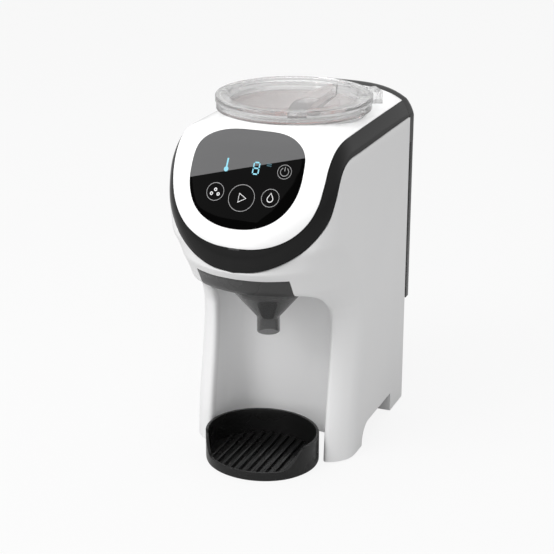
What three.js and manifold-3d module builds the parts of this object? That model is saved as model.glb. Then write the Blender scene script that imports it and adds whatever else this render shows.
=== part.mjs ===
// Baby formula maker: a counter-top machine that heats water, doses powder and mixes a bottle.
// Millimetres, +Z up, front towards -Y, origin on the table under the middle of the machine.

import * as THREE from 'three';
import Module from 'manifold-3d';
import { mergeVertices } from 'three/addons/utils/BufferGeometryUtils.js';

const wasm = await Module();
wasm.setup();

// Driving dimensions of the whole machine
const width = 160;
const depth = 258;
const height = 334;
const halfWidth = width / 2;
const halfDepth = depth / 2;

// Clearances and walls shared by several pieces
const gap = 0.3;
const slideGap = 0.6;
const overrun = 5;
const shellWall = 2.5;
const deckWall = 2.5;

// Bottle bay under the head
const armWide = 22;
const bayHalfWidth = halfWidth - armWide;
const bayTop = 0.503 * height;
const bayBack = -0.0155 * halfDepth;
const bayCorner = 18;

// Powder hopper: its axis stands behind the control face
const hopperY = 0.08527 * halfDepth;
const hopperSide = 18;
const hopperRadius = halfWidth - hopperSide;
const hopperWall = 2;
const ringSide = 8.5;
const hopperFlangeRadius = halfWidth - ringSide;
const hopperSeatZ = 0.96317 * height;
const hopperFloorZ = 0.76647 * height;

// Mixing funnel: its axis is the axis of the bottle
const funnelReach = 48.6;
const funnelY = bayBack - funnelReach;

// Foot of the tank behind the body
const tankBottom = 0.32335 * height;

// Small helpers

const whole = new THREE.Group();
const weld = gap / 1000;

function solidOf(geometry) {
  const bare = geometry.clone();
  bare.deleteAttribute('normal');
  bare.deleteAttribute('uv');
  const merged = mergeVertices(bare, weld);
  const corners = merged.index.array;
  const kept = [];
  for (let i = 0; i < corners.length; i += 3) {
    const [a, b, c] = [corners[i], corners[i + 1], corners[i + 2]];
    if (a !== b && b !== c && c !== a) kept.push(a, b, c);
  }
  const vertProperties = new Float32Array(merged.attributes.position.array);
  return new wasm.Manifold(new wasm.Mesh({ numProp: 3, vertProperties, triVerts: new Uint32Array(kept) }));
}

function geometryOf(solid) {
  const mesh = solid.getMesh();
  const geometry = new THREE.BufferGeometry();
  geometry.setAttribute('position', new THREE.BufferAttribute(new Float32Array(mesh.vertProperties), 3));
  geometry.setIndex(new THREE.BufferAttribute(new Uint32Array(mesh.triVerts), 1));
  geometry.computeVertexNormals();
  return geometry;
}

function add(name, solid, colour, roughness, metalness = 0) {
  const material = new THREE.MeshStandardMaterial({ color: colour, roughness, metalness });
  const mesh = new THREE.Mesh(geometryOf(solid), material);
  mesh.name = name;
  whole.add(mesh);
}

function box(x0, x1, y0, y1, z0, z1) {
  const geometry = new THREE.BoxGeometry(x1 - x0, y1 - y0, z1 - z0);
  geometry.translate((x0 + x1) / 2, (y0 + y1) / 2, (z0 + z1) / 2);
  return solidOf(geometry);
}

// An upright round bar, or one laid along X or Y
function bar(radius, from, to, a, b, sides = 32, axis = 'z') {
  const geometry = new THREE.CylinderGeometry(radius, radius, to - from, sides);
  const middle = (from + to) / 2;
  if (axis === 'z') geometry.rotateX(Math.PI / 2).translate(a, b, middle);
  if (axis === 'y') geometry.translate(a, middle, b);
  if (axis === 'x') geometry.rotateZ(Math.PI / 2).translate(middle, a, b);
  return solidOf(geometry);
}

// A turned solid: the profile is a list of [radius, height], and closes on itself
function turned(profile, x, y, sides = 48) {
  const points = profile.map(([r, z]) => new THREE.Vector2(r, z));
  if (profile[0][0] > 0 || profile.at(-1)[0] > 0) points.push(points[0].clone());
  const geometry = new THREE.LatheGeometry(points, sides);
  geometry.rotateX(Math.PI / 2).translate(x, y, 0);
  return facingOut(geometry);
}

function facingOut(geometry) {
  const solid = solidOf(geometry);
  if (solid.volume() > 0) return solid;
  const flipped = (geometry.index ? geometry.toNonIndexed() : geometry.clone());
  const place = flipped.attributes.position;
  for (let i = 0; i < place.count; i += 3) {
    const second = new THREE.Vector3().fromBufferAttribute(place, i + 1);
    const third = new THREE.Vector3().fromBufferAttribute(place, i + 2);
    place.setXYZ(i + 1, third.x, third.y, third.z);
    place.setXYZ(i + 2, second.x, second.y, second.z);
  }
  return solidOf(flipped);
}

// A flat outline with rounded corners, given as [x, y, radius] in order
function rounded(corners, arcSteps = 5) {
  const points = [];
  corners.forEach(([x, y, radius], i) => {
    const here = new THREE.Vector2(x, y);
    const before = corners.at(i - 1);
    const after = corners[(i + 1) % corners.length];
    const toBefore = new THREE.Vector2(before[0], before[1]).sub(here).normalize();
    const toAfter = new THREE.Vector2(after[0], after[1]).sub(here).normalize();
    if (!(radius > 0)) {
      points.push(here);
      return;
    }
    const half = Math.acos(Math.max(-1, Math.min(1, toBefore.dot(toAfter)))) / 2;
    const reach = radius / Math.tan(half);
    const start = here.clone().addScaledVector(toBefore, reach);
    const end = here.clone().addScaledVector(toAfter, reach);
    const inward = toBefore.clone().add(toAfter).normalize();
    const centre = here.clone().addScaledVector(inward, radius / Math.sin(half));
    const from = Math.atan2(start.y - centre.y, start.x - centre.x);
    let sweep = Math.atan2(end.y - centre.y, end.x - centre.x) - from;
    sweep = Math.atan2(Math.sin(sweep), Math.cos(sweep));
    for (let k = 0; k <= arcSteps; k += 1) {
      const angle = from + (sweep * k) / arcSteps;
      const reached = new THREE.Vector2(Math.cos(angle), Math.sin(angle));
      points.push(reached.multiplyScalar(radius).add(centre));
    }
  });
  return points;
}

function rectangle(x0, x1, y0, y1, radius) {
  return rounded([[x0, y0, radius], [x1, y0, radius], [x1, y1, radius], [x0, y1, radius]]);
}

// A plan outline raised from one height to another
function raised(points, z0, z1) {
  const geometry = new THREE.ExtrudeGeometry(
    new THREE.Shape(points), { depth: z1 - z0, bevelEnabled: false });
  geometry.translate(0, 0, z0);
  return facingOut(geometry);
}

// An outline drawn in X and Z, pushed along Y
function pushedBack(points, y0, y1) {
  const geometry = new THREE.ExtrudeGeometry(
    new THREE.Shape(points), { depth: y1 - y0, bevelEnabled: false });
  geometry.rotateX(Math.PI / 2).translate(0, y1, 0);
  return facingOut(geometry);
}

// An outline drawn in Y and Z, pushed along X
function pushedAcross(points, x0, x1) {
  const geometry = new THREE.ExtrudeGeometry(
    new THREE.Shape(points), { depth: x1 - x0, bevelEnabled: false });
  geometry.rotateY(Math.PI / 2).rotateX(Math.PI / 2).translate(x0, 0, 0);
  return facingOut(geometry);
}

// A skin over matching loops of points: round and round, or with a strip over each end
function lofted(loops, ringed = false) {
  const count = loops[0].length;
  const corners = [];
  const quad = (a, b, c, d) => corners.push(a, b, c, a, c, d);
  const last = ringed ? loops.length : loops.length - 1;
  for (let k = 0; k < last; k += 1) {
    const here = loops[k];
    const next = loops[(k + 1) % loops.length];
    for (let j = 0; j < count; j += 1) {
      const side = (j + 1) % count;
      quad(here[j], here[side], next[side], next[j]);
    }
  }
  if (!ringed) {
    [loops[0], loops.at(-1)].forEach((loop, end) => {
      for (let j = 0; j < count / 2 - 1; j += 1) {
        const [a, b, c, d] = [loop[j], loop[j + 1], loop[count - 2 - j], loop[count - 1 - j]];
        if (end === 0) quad(a, d, c, b);
        else quad(a, b, c, d);
      }
    });
  }
  const flat = new Float32Array(corners.flatMap((p) => [p.x, p.y, p.z]));
  const geometry = new THREE.BufferGeometry();
  geometry.setAttribute('position', new THREE.BufferAttribute(flat, 3));
  return facingOut(geometry);
}

// A hose or lead: a round section carried along a smooth route
function hose(route, radius, sides = 8, steps = 24) {
  const path = new THREE.CatmullRomCurve3(route.map(([x, y, z]) => new THREE.Vector3(x, y, z)));
  const section = [];
  for (let k = 0; k < sides; k += 1) {
    const angle = (2 * Math.PI * k) / sides;
    section.push(new THREE.Vector2(radius * Math.cos(angle), radius * Math.sin(angle)));
  }
  return facingOut(new THREE.ExtrudeGeometry(new THREE.Shape(section), { steps, extrudePath: path }));
}

// The lines that shape the head, front to rear, as shares of half width, half depth and height

const outerEdgeShares = [
  [0, -1, 0.617], [0.2625, -0.986, 0.624], [0.5, -0.939, 0.6437], [0.7125, -0.87, 0.6766],
  [0.8625, -0.7985, 0.717], [0.95, -0.739, 0.7575], [0.9875, -0.686, 0.804], [1, -0.632, 0.8473],
  [1, -0.562, 0.8743], [1, -0.4574, 0.8886], [1, -0.2326, 0.8892], [1, 0.659, 0.8886], [1, 0.8527, 0.8877],
];
const innerEdgeShares = [
  [0, -0.9845, 0.6856], [0.236, -0.9767, 0.6892], [0.444, -0.9496, 0.7015], [0.625, -0.9054, 0.7246],
  [0.7625, -0.8512, 0.759], [0.844, -0.8008, 0.7994], [0.8825, -0.748, 0.8473], [0.895, -0.682, 0.8892],
  [0.905, -0.589, 0.9186], [0.9125, -0.465, 0.934], [0.9125, -0.2326, 0.937], [0.9075, 0.659, 0.936],
  [0.9, 0.8527, 0.934],
];
const crownShares = [
  [0, -0.9845, 0.6856], [0, -0.9845, 0.6916], [0, -0.978, 0.708], [0, -0.958, 0.735],
  [0, -0.9186, 0.7695], [0, -0.859, 0.807], [0, -0.783, 0.852], [0, -0.705, 0.8997],
  [0, -0.624, 0.9416], [0, -0.4806, 0.96], [0, -0.2326, 0.9617], [0, 0.659, 0.9617], [0, 0.8527, 0.9689],
];
const crownPower = 4;

function lineOf(shares) {
  const points = shares.map(([x, y, z]) => new THREE.Vector3(x * halfWidth, y * halfDepth, z * height));
  return new THREE.CatmullRomCurve3(points, false, 'centripetal');
}
const outerLine = lineOf(outerEdgeShares);
const innerLine = lineOf(innerEdgeShares);
const crownLine = lineOf(crownShares);
const lastRow = outerEdgeShares.length - 1;
const deckRear = outerEdgeShares.at(-1)[1] * halfDepth;
const rearStep = 7;
const bodyRear = deckRear + rearStep;

// Stations along those lines: close together round the face, wide apart on the straight sides
const stationShares = [];
for (let row = 0; row <= 9; row += 0.5) stationShares.push(row / lastRow);
stationShares.push(10 / lastRow, 11 / lastRow, 1);

function onLine(line, station) {
  const point = line.getPoint(station);
  point.x = Math.min(point.x, halfWidth);
  return point;
}

// The crowned white surface: across is -1 at the left edge line and 1 at the right one
function crowned(across, station) {
  const edge = onLine(innerLine, station);
  const middle = onLine(crownLine, station);
  const fall = Math.abs(across) ** crownPower;
  return new THREE.Vector3(
    edge.x * across, middle.y + (edge.y - middle.y) * fall, middle.z + (edge.z - middle.z) * fall);
}

const probeShare = 0.01;
function crownedOut(across, station) {
  const a = Math.max(-1, Math.min(1, across));
  const s = Math.max(probeShare, Math.min(1 - probeShare, station));
  const alongX = crowned(a + probeShare, s).sub(crowned(a - probeShare, s));
  const alongY = crowned(a, s + probeShare).sub(crowned(a, s - probeShare));
  return alongX.cross(alongY).normalize();
}

// Outline of the white body at a height, as shares of height, half depth, half depth and half width:
// how high, where the front line meets the corners, where it is in the middle, and the corner radius
const bodyRowShares = [
  [0, -0.45, -0.45, 0.35], [0.1, -0.43, -0.43, 0.355], [0.38, -0.336, -0.336, 0.4],
  [0.413, -0.334, -0.338, 0.39], [0.449, -0.342, -0.38, 0.37], [0.473, -0.352, -0.44, 0.35],
  [0.509, -0.375, -0.61, 0.31], [0.542, -0.44, -0.78, 0.27], [0.587, -0.53, -0.89, 0.2],
  [0.617, -0.59, -1, 0.16], [0.647, -0.65, -1, 0.13], [0.68, -0.713, -1, 0.1],
  [0.784, -0.713, -1, 0.1], [0.889, -0.713, -1, 0.1],
];
const bodyRows = bodyRowShares.map(([high, corner, middle, round]) => (
  [high * height, corner * halfDepth, middle * halfDepth, round * halfWidth]));
const frontArcShare = 0.762;

function bodyRowAt(z) {
  const next = Math.max(1, bodyRows.findIndex((row) => row[0] >= z));
  const [low, high] = [bodyRows[next - 1], bodyRows[next]];
  const share = Math.min(1, Math.max(0, (z - low[0]) / (high[0] - low[0])));
  return low.map((value, i) => value + (high[i] - value) * share);
}

function frontAt(x, z) {
  const [, corner, middle, radius] = bodyRowAt(z);
  const share = Math.min(1, Math.abs(x) / halfWidth);
  const bow = (1 - Math.sqrt(1 - (frontArcShare * share) ** 2)) / (1 - Math.sqrt(1 - frontArcShare ** 2));
  const past = Math.max(0, Math.min(1, (Math.abs(x) - (halfWidth - radius)) / radius));
  return middle + (corner - middle) * bow + radius * (1 - Math.sqrt(1 - past * past));
}

// The point under a place on the head's outline, at another height
function bodyPoint(top, z) {
  const headZ = bodyRows.at(-1)[0];
  if (top.x < halfWidth) {
    return new THREE.Vector3(top.x, top.y + frontAt(top.x, z) - frontAt(top.x, headZ), z);
  }
  const share = (deckRear - top.y) / (deckRear - frontAt(halfWidth, headZ));
  return new THREE.Vector3(top.x, deckRear - share * (deckRear - frontAt(halfWidth, z)), z);
}

// The outline of the body as a ring of columns, right half then left half
const rearCorner = 6;
const bodyFoot = 1.5;

function bodyTops() {
  const half = stationShares.map((station) => onLine(outerLine, station));
  const rearTop = half.at(-1).z;
  for (let k = 0; k <= 4; k += 1) {
    const angle = (Math.PI / 2) * (k / 4);
    const x = halfWidth - rearCorner + rearCorner * Math.cos(angle);
    half.push(new THREE.Vector3(x, bodyRear - rearCorner + rearCorner * Math.sin(angle), rearTop));
  }
  half.push(new THREE.Vector3(0, bodyRear, rearTop));
  return half;
}

// Matching loops down the outside of the body wall and up its inside, one for each column
function bodySkin(topGap, outset, inset) {
  const right = bodyTops();
  const left = right.slice(1, -1).reverse().map((p) => new THREE.Vector3(-p.x, p.y, p.z));
  const tops = [...right, ...left];
  const columns = tops.map((top) => {
    const mirrored = new THREE.Vector3(Math.abs(top.x), top.y, top.z);
    const crest = top.z - topGap;
    const levels = bodyRows.map((row, i) => (i === 0 ? bodyFoot : Math.min(row[0], crest)));
    levels.push(crest);
    return levels.map((z) => {
      const rear = top.y > deckRear + weld;
      const point = rear ? mirrored.clone().setZ(z) : bodyPoint(mirrored, z);
      point.x *= Math.sign(top.x) || 1;
      if (top.x === 0) point.x = 0;
      return point;
    });
  });
  const outward = (k, level) => {
    const before = columns.at(k - 1)[level];
    const after = columns[(k + 1) % columns.length][level];
    return new THREE.Vector3(after.y - before.y, before.x - after.x, 0).normalize();
  };
  return columns.map((column, k) => {
    const away = column.map((_, level) => outward(k, level));
    const outer = column.map((p, level) => p.clone().addScaledVector(away[level], outset));
    const inner = column.map((p, level) => p.clone().addScaledVector(away[level], -inset));
    return [...outer.reverse(), ...inner];
  });
}

// White body shell: both sides, the two columns, the neck and the rear wall in one moulding
const drawerSide = 14;
const drawerHalfWidth = bayHalfWidth - drawerSide;
const drawerTop = 0.58683 * height;
const drawerBottom = 0.54192 * height;
const footArchFront = -0.0853 * halfDepth;
const footArchRear = 0.57364 * halfDepth;
const footArchTop = 21;
const footArchRound = 18;
const mouthSide = 13;
const bayMouth = halfWidth - mouthSide;
const underTank = 8;
const rearOpeningTop = tankBottom - underTank;
const rearOpeningBottom = 24;
const coverSide = 18;
const rearOpeningHalf = halfWidth - coverSide;

function mainShell() {
  const bayArch = rounded([
    [-bayHalfWidth, -overrun, 0], [bayHalfWidth, -overrun, 0],
    [bayHalfWidth, bayTop, bayCorner], [-bayHalfWidth, bayTop, bayCorner]]);
  const footArch = rounded([
    [footArchFront, -overrun, 0], [footArchRear, -overrun, 0], [footArchRear, footArchTop, 0],
    [footArchFront, footArchTop, footArchRound]]);
  const drawerMouth = drawerHalfWidth + gap;
  return lofted(bodySkin(gap, 0, shellWall), true)
    .subtract(pushedBack(bayArch, -depth, bayBack))
    .subtract(box(-drawerMouth, drawerMouth, -depth, 0, drawerBottom - gap, drawerTop + gap))
    .subtract(box(-funnelSlot, funnelSlot, -depth, 0, bayTop - bayCorner, drawerBottom))
    .subtract(pushedAcross(footArch, -width, width))
    .subtract(box(-bayMouth, bayMouth, bodyRear - 2 * shellWall, bodyRear + overrun,
      tankBottom - shellWall, height))
    .subtract(box(-rearOpeningHalf, rearOpeningHalf, bodyRear - 2 * shellWall, bodyRear + overrun,
      rearOpeningBottom, rearOpeningTop));
}

// White top moulding: the control face, rolling over into the flat deck round the hopper
const wellStep = 3;
const wellRadius = hopperRadius + wellStep;
const acrossShares = [-1, -0.97, -0.92, -0.84, -0.72, -0.5, 0, 0.5, 0.72, 0.84, 0.92, 0.97, 1];
const firstStationShare = 0.048;
const deckEdgeShare = 0.995;

function topDeck() {
  const rows = stationShares.map((station) => Math.max(station, firstStationShare));
  const loops = rows.map((station) => {
    const outer = acrossShares.map((across) => crowned(across * deckEdgeShare, station));
    const inner = acrossShares.map((across, i) => (
      outer[i].clone().addScaledVector(crownedOut(across, station), -deckWall)));
    return [...outer, ...inner.reverse()];
  });
  return lofted(loops)
    .subtract(bar(wellRadius + gap, hopperFloorZ, height, 0, hopperY, 64));
}

// Black gloss trim band: runs back along one side, down round the face and back along the other
const bandWall = 2.5;
const bandBulge = 1.8;

function bandLoop(station, side) {
  const outer = onLine(outerLine, station);
  const inner = onLine(innerLine, station);
  const chord = inner.clone().sub(outer).normalize();
  const ahead = onLine(outerLine, Math.min(1, station + probeShare));
  const behind = onLine(outerLine, Math.max(0, station - probeShare));
  const along = ahead.sub(behind).normalize();
  const out = along.clone().cross(chord).normalize();
  if (out.x - out.y < 0) out.negate();
  const low = outer.clone().addScaledVector(chord, gap);
  const high = inner.clone().addScaledVector(chord, -gap);
  const plan = new THREE.Vector3(along.y, -along.x, 0).normalize();
  if (station === 0) plan.set(0, -1, 0);
  const lowIn = low.clone().addScaledVector(plan, -bandWall);
  const highIn = high.clone().addScaledVector(crownedOut(1, station), -bandWall);
  const loop = [low];
  [1 / 3, 2 / 3].forEach((share) => {
    loop.push(low.clone().lerp(high, share).addScaledVector(out, bandBulge));
  });
  loop.push(high, highIn);
  [2 / 3, 1 / 3].forEach((share) => {
    loop.push(lowIn.clone().lerp(highIn, share));
  });
  loop.push(lowIn);
  loop.forEach((p) => {
    if (station === 0) p.x = 0;
    p.x *= side;
  });
  return loop;
}

function trimBand() {
  const right = stationShares.map((station) => bandLoop(station, 1));
  const left = stationShares.slice(1).reverse().map((station) => bandLoop(station, -1));
  return lofted([...left, ...right]);
}

// Black glass control lens let into the face: round below, squarer above
const lensSide = 28.3;
const lensHalfWidth = halfWidth - lensSide;
const lensBottom = 0.72754 * height;
const lensWaist = 0.86228 * height;
const lensTop = 0.95509 * height;
const lensDepth = 1.5;
const lensProud = 0.15;
const lensLowPower = 2;
const lensHighPower = 3.2;
const lensRows = 16;

function stationAtHeight(z) {
  let [low, high] = [0, 10 / lastRow];
  for (let k = 0; k < 40; k += 1) {
    const middle = (low + high) / 2;
    if (onLine(crownLine, middle).z < z) low = middle;
    else high = middle;
  }
  return (low + high) / 2;
}

// A slab lying along the crowned face, from one depth under it to another
function facePatch(rows, top, bottom) {
  const loops = rows.map(([z, half]) => {
    const station = stationAtHeight(z);
    const edge = onLine(innerLine, station).x;
    const shares = [-1, -0.8, -0.4, 0, 0.4, 0.8, 1];
    const places = shares.map((share) => (share * half) / edge);
    const lay = (offset) => places.map((across) => (
      crowned(across, station).addScaledVector(crownedOut(across, station), offset)));
    return [...lay(top), ...lay(bottom).reverse()];
  });
  return lofted(loops);
}

function lensOutline(grow) {
  const rows = [];
  for (let k = 0; k <= lensRows; k += 1) {
    const turn = -Math.cos((Math.PI * k) / lensRows);
    const reach = turn < 0 ? lensWaist - lensBottom + grow : lensTop - lensWaist + grow;
    const power = turn < 0 ? lensLowPower : lensHighPower;
    const half = (lensHalfWidth + grow) * (1 - Math.abs(turn) ** power) ** (1 / power);
    rows.push([lensWaist + turn * reach, Math.max(half, lensProud)]);
  }
  return rows;
}

// Display module and control board, stacked behind the face
const displayHalfWidth = 26;
const displayLow = 0.84731 * height;
const displayHigh = 0.9012 * height;
const displayThick = 3;
const boardThick = 1.6;
const boardHalfWidth = 40;
const boardLow = 0.77246 * height;
const boardHigh = 0.91018 * height;
const displayFront = -(deckWall + gap);
const boardFront = displayFront - displayThick - gap;

function evenRows(low, high, half, steps) {
  const rows = [];
  for (let k = 0; k <= steps; k += 1) rows.push([low + ((high - low) * k) / steps, half]);
  return rows;
}

// Silver-grey liner of the bottle bay, and the thick skin that trims pieces to the body's inside
const linerWall = 2;
const linerFoot = 4;
const trimReach = halfDepth;
const drawerStep = 8;
const drawerRear = bayBack - drawerStep;

function trimmedInside(solid, inset) {
  return solid.subtract(lofted(bodySkin(gap, trimReach, inset), true));
}

function bayLiner() {
  const arch = (wall, foot) => {
    const half = bayHalfWidth + wall;
    const round = bayCorner + wall;
    return rounded([
      [-half, foot, 0], [half, foot, 0], [half, bayTop + wall, round], [-half, bayTop + wall, round]]);
  };
  const block = pushedBack(arch(linerWall, linerFoot), -halfDepth, bayBack + linerWall)
    .subtract(pushedBack(arch(0, -overrun), -depth, bayBack))
    .subtract(box(-funnelSlot, funnelSlot, -depth, funnelY + funnelSlot, bayTop - linerWall, height));
  return trimmedInside(block, shellWall + gap);
}

// Funnel holder: a dark drawer whose curved front closes the slot under the head
const holderFloor = drawerBottom;
const holderWall = 3;
const holderFloorThick = 3;
const flangeSide = 4.5;
const flangeRadius = drawerHalfWidth - holderWall - flangeSide;
const flangeSeat = 3.5;
const coneRadius = flangeRadius - flangeSeat;
const slotClear = 2.5;
const funnelSlot = coneRadius + slotClear;
const coneDrop = 16;
const coneTop = drawerBottom - coneDrop;

function funnelHolder() {
  const half = drawerHalfWidth;
  const inner = half - holderWall;
  const block = trimmedInside(box(-half, half, -halfDepth, drawerRear, holderFloor, drawerTop), 0);
  const room = box(-inner, inner, -halfDepth, drawerRear - holderWall,
    holderFloor + holderFloorThick, height);
  const hollow = trimmedInside(room, holderWall);
  return block.subtract(hollow)
    .subtract(bar(coneRadius + slideGap, holderFloor - overrun, drawerTop, 0, funnelY, 32));
}

// Smoked funnel: hangs in the holder by its flange
const flangeThick = 2;
const funnelWall = 1.8;
const coneTall = 27;
const coneEnd = coneTop - coneTall;
const spoutRadius = 10.7;
const spoutTall = 15;
const spoutEnd = coneEnd - spoutTall;

function funnel() {
  const flangeBottom = holderFloor + holderFloorThick + gap;
  return turned([
    [spoutRadius, spoutEnd], [spoutRadius, coneEnd], [coneRadius, coneTop], [coneRadius, flangeBottom],
    [flangeRadius, flangeBottom], [flangeRadius, flangeBottom + flangeThick],
    [coneRadius - funnelWall, flangeBottom + flangeThick], [coneRadius - funnelWall, coneTop],
    [spoutRadius - funnelWall, coneEnd], [spoutRadius - funnelWall, spoutEnd]], 0, funnelY, 32);
}

// Drip tray: a black oval dish with a low front lip and raised sides
const traySide = 4;
const trayHalfWidth = bayHalfWidth - traySide;
const trayFront = -0.89612 * halfDepth;
const trayShoulder = -0.51163 * halfDepth;
const trayStep = 15;
const trayRear = bayBack - trayStep;
const trayWall = 2.5;
const trayFloor = 3.2;
const trayHigh = 27.5;
const trayLip = 8.5;
const trayRampFront = -0.802 * halfDepth;
const trayRampRear = -0.6434 * halfDepth;
const trayRib = 2;
const trayRibPitch = 8.3;
const trayRibCount = 11;
const trayTongue = 14;
const trayTongueTop = 8;

function trayOutline(inset) {
  const points = [];
  const sides = 40;
  for (let k = 0; k < sides; k += 1) {
    const angle = (2 * Math.PI * k) / sides;
    const reach = Math.sin(angle) > 0 ? trayRear - trayShoulder : trayShoulder - trayFront;
    points.push(new THREE.Vector2(
      (trayHalfWidth - inset) * Math.cos(angle), trayShoulder + (reach - inset) * Math.sin(angle)));
  }
  return points;
}

function dripTray() {
  const lip = [new THREE.Vector2(-depth, height), new THREE.Vector2(-depth, trayLip)];
  const steps = 10;
  for (let k = 0; k <= steps; k += 1) {
    const share = k / steps;
    const rise = (1 - Math.cos(Math.PI * share)) / 2;
    lip.push(new THREE.Vector2(
      trayRampFront + (trayRampRear - trayRampFront) * share, trayLip + (trayHigh - trayLip) * rise));
  }
  lip.push(new THREE.Vector2(trayRampRear, height));
  let tray = raised(trayOutline(0), 0, trayHigh)
    .subtract(raised(trayOutline(trayWall), trayFloor, height))
    .subtract(pushedAcross(lip, -width, width));
  for (let k = 0; k < trayRibCount; k += 1) {
    const x = (k - (trayRibCount - 1) / 2) * trayRibPitch;
    const share = Math.sqrt(1 - (x / trayHalfWidth) ** 2);
    const front = trayShoulder - (trayShoulder - trayFront) * share + 2 * trayWall;
    const rear = trayShoulder + (trayRear - trayShoulder) * share - 2 * trayWall;
    tray = tray.add(box(x - trayRib / 2, x + trayRib / 2, front, rear,
      trayFloor - trayRib / 2, trayFloor + trayRib));
  }
  return tray.add(box(-trayTongue, trayTongue, trayRear - trayWall, bayBack - gap,
    trayFloor - trayRib, trayTongueTop));
}

// Base: a plate above the foot arches, with a hollow foot block at each corner
const baseBottom = 22;
const baseTop = 24.5;
const baseInset = 3.5;
const baseHalfWidth = halfWidth - baseInset;
const baseStep = 2.8;
const baseFront = bayBack + baseStep;
const baseRear = bodyRear - baseInset;
const armInner = bayHalfWidth + baseInset;
const armFront = -0.24031 * halfDepth;
const footBottom = 3;
const footPadRadius = 6;
const footInset = 10;
const footX = halfWidth - footInset;
const footStep = 8;
const frontFootY = armFront + footStep;
const rearFootStep = 21;
const rearFootY = bodyRear - rearFootStep;
const footHalf = 6.3;
const footLength = 9;
const screwRadius = 1.9;
const screwHead = 3.6;
const screwHeadTall = 1.8;
const screwTop = 33;
const screwStep = 14;
const screwY = bayBack + screwStep;
const screwInnerX = halfWidth / 4;
const screwOuterX = 0.5625 * halfWidth;
const screwPlaces = [-screwOuterX, -screwInnerX, screwInnerX, screwOuterX].map((x) => [x, screwY]);

function basePlate() {
  const plan = rectangle(-baseHalfWidth, baseHalfWidth, baseFront, baseRear, footHalf);
  let plate = raised(plan, baseBottom, baseTop);
  [-1, 1].forEach((side) => {
    const [x0, x1] = side > 0 ? [armInner, baseHalfWidth] : [-baseHalfWidth, -armInner];
    plate = plate.add(box(x0, x1, armFront, baseFront + 2 * footHalf, baseBottom, baseTop));
    [frontFootY, rearFootY].forEach((y) => {
      plate = plate.add(box(side * footX - footHalf, side * footX + footHalf,
        y - footLength, y + footLength, footBottom, baseBottom + gap));
    });
  });
  screwPlaces.forEach(([x, y]) => {
    plate = plate.subtract(bar(screwRadius + gap, baseBottom - overrun, baseTop + overrun, x, y, 12));
  });
  return plate;
}

function baseScrew(x, y) {
  const under = baseBottom - gap;
  return turned([
    [0, under - screwHeadTall], [screwHead, under - screwHeadTall], [screwHead, under],
    [screwRadius, under], [screwRadius, screwTop], [0, screwTop]], x, y, 12);
}

// Inner chassis: an upright plate behind the bay, with a foot and a shelf for the drive
const chassisStep = 2.4;
const chassisFront = bayBack + chassisStep;
const chassisThick = 2.5;
const chassisSide = 1;
const chassisHalfWidth = bayHalfWidth - chassisSide;
const driveTall = 24;
const chassisTop = hopperFloorZ - driveTall;
const chassisFootLong = 19.6;
const chassisFootRear = chassisFront + chassisFootLong;
const chassisShelfLong = 55;
const chassisShelfRear = hopperY + chassisShelfLong;
const hosePassInset = 27;
const hosePassX = hosePassInset - chassisHalfWidth;
const hosePassRise = 17;
const hosePassZ = drawerTop + hosePassRise;
const hoseRadius = 3;
const shelfHole = 10;
const gearModule = 1.75;
const gearTeeth = 32;
const pinionTeeth = 8;
const teethRound = 5;
const motorTurn = (2 * Math.PI * teethRound) / gearTeeth;
const motorReach = (gearModule * (gearTeeth + pinionTeeth)) / 2;
const motorX = motorReach * Math.cos(motorTurn);
const motorY = hopperY + motorReach * Math.sin(motorTurn);

function chassis() {
  const rear = chassisFront + chassisThick;
  const half = chassisHalfWidth;
  let plate = box(-half, half, chassisFront, rear, baseTop + gap, chassisTop)
    .add(box(-half, half, rear - gap, chassisFootRear, baseTop + gap, baseTop + gap + chassisThick))
    .add(box(-half, half, rear - gap, chassisShelfRear, chassisTop - chassisThick, chassisTop))
    .subtract(bar(2 * hoseRadius, chassisFront - overrun, rear + overrun, hosePassX, hosePassZ, 16, 'y'))
    .subtract(bar(shelfHole, chassisTop - 2 * overrun, chassisTop + overrun, 0, hopperY, 24))
    .subtract(bar(shelfHole / 2, chassisTop - 2 * overrun, chassisTop + overrun, motorX, motorY, 24));
  screwPlaces.forEach(([x, y]) => {
    plate = plate.subtract(bar(screwRadius + gap, baseTop - overrun, screwTop + overrun, x, y, 12));
  });
  return plate;
}

// Drive train under the hopper: motor, pinion and the gear that turns the dosing wheel
const gearRise = 4;
const gearBottom = chassisTop + gearRise;
const gearTall = 7;
const gearTop = gearBottom + gearTall;
const toothClear = 0.35;
const hubRadius = 9;
const hubClear = 2;
const hubTop = hopperFloorZ - hubClear;
const dogRadius = 5;
const motorRadius = 16;
const motorTall = 38;
const motorShaft = 1.8;

function toothed(teeth, turn) {
  const pitch = (gearModule * teeth) / 2;
  const tip = pitch + gearModule - toothClear;
  const root = pitch - gearModule - toothClear / 2;
  const points = [];
  const rootShare = 0.272;
  const tipShare = 0.128;
  const tooth = [[-rootShare, root], [-tipShare, tip], [tipShare, tip], [rootShare, root]];
  for (let k = 0; k < teeth; k += 1) {
    tooth.forEach(([share, radius]) => {
      const angle = turn + (2 * Math.PI * (k + share)) / teeth;
      points.push(new THREE.Vector2(radius * Math.cos(angle), radius * Math.sin(angle)));
    });
  }
  return points;
}

function driveGear() {
  const disc = raised(toothed(gearTeeth, 0), gearBottom, gearTop).translate(0, hopperY, 0);
  return disc
    .add(bar(hubRadius, gearBottom, hubTop, 0, hopperY, 24))
    .add(bar(shelfHole - gap, chassisTop - chassisThick, gearBottom + gap, 0, hopperY, 24))
    .subtract(bar(dogRadius + slideGap, gearTop, hubTop + overrun, 0, hopperY, 6));
}

function motorPinion() {
  const blank = raised(toothed(pinionTeeth, motorTurn + Math.PI + Math.PI / pinionTeeth), gearBottom + gap,
    gearTop - gap);
  return blank.translate(motorX, motorY, 0)
    .subtract(bar(motorShaft + gap, chassisTop, gearTop + overrun, motorX, motorY, 16));
}

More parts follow.
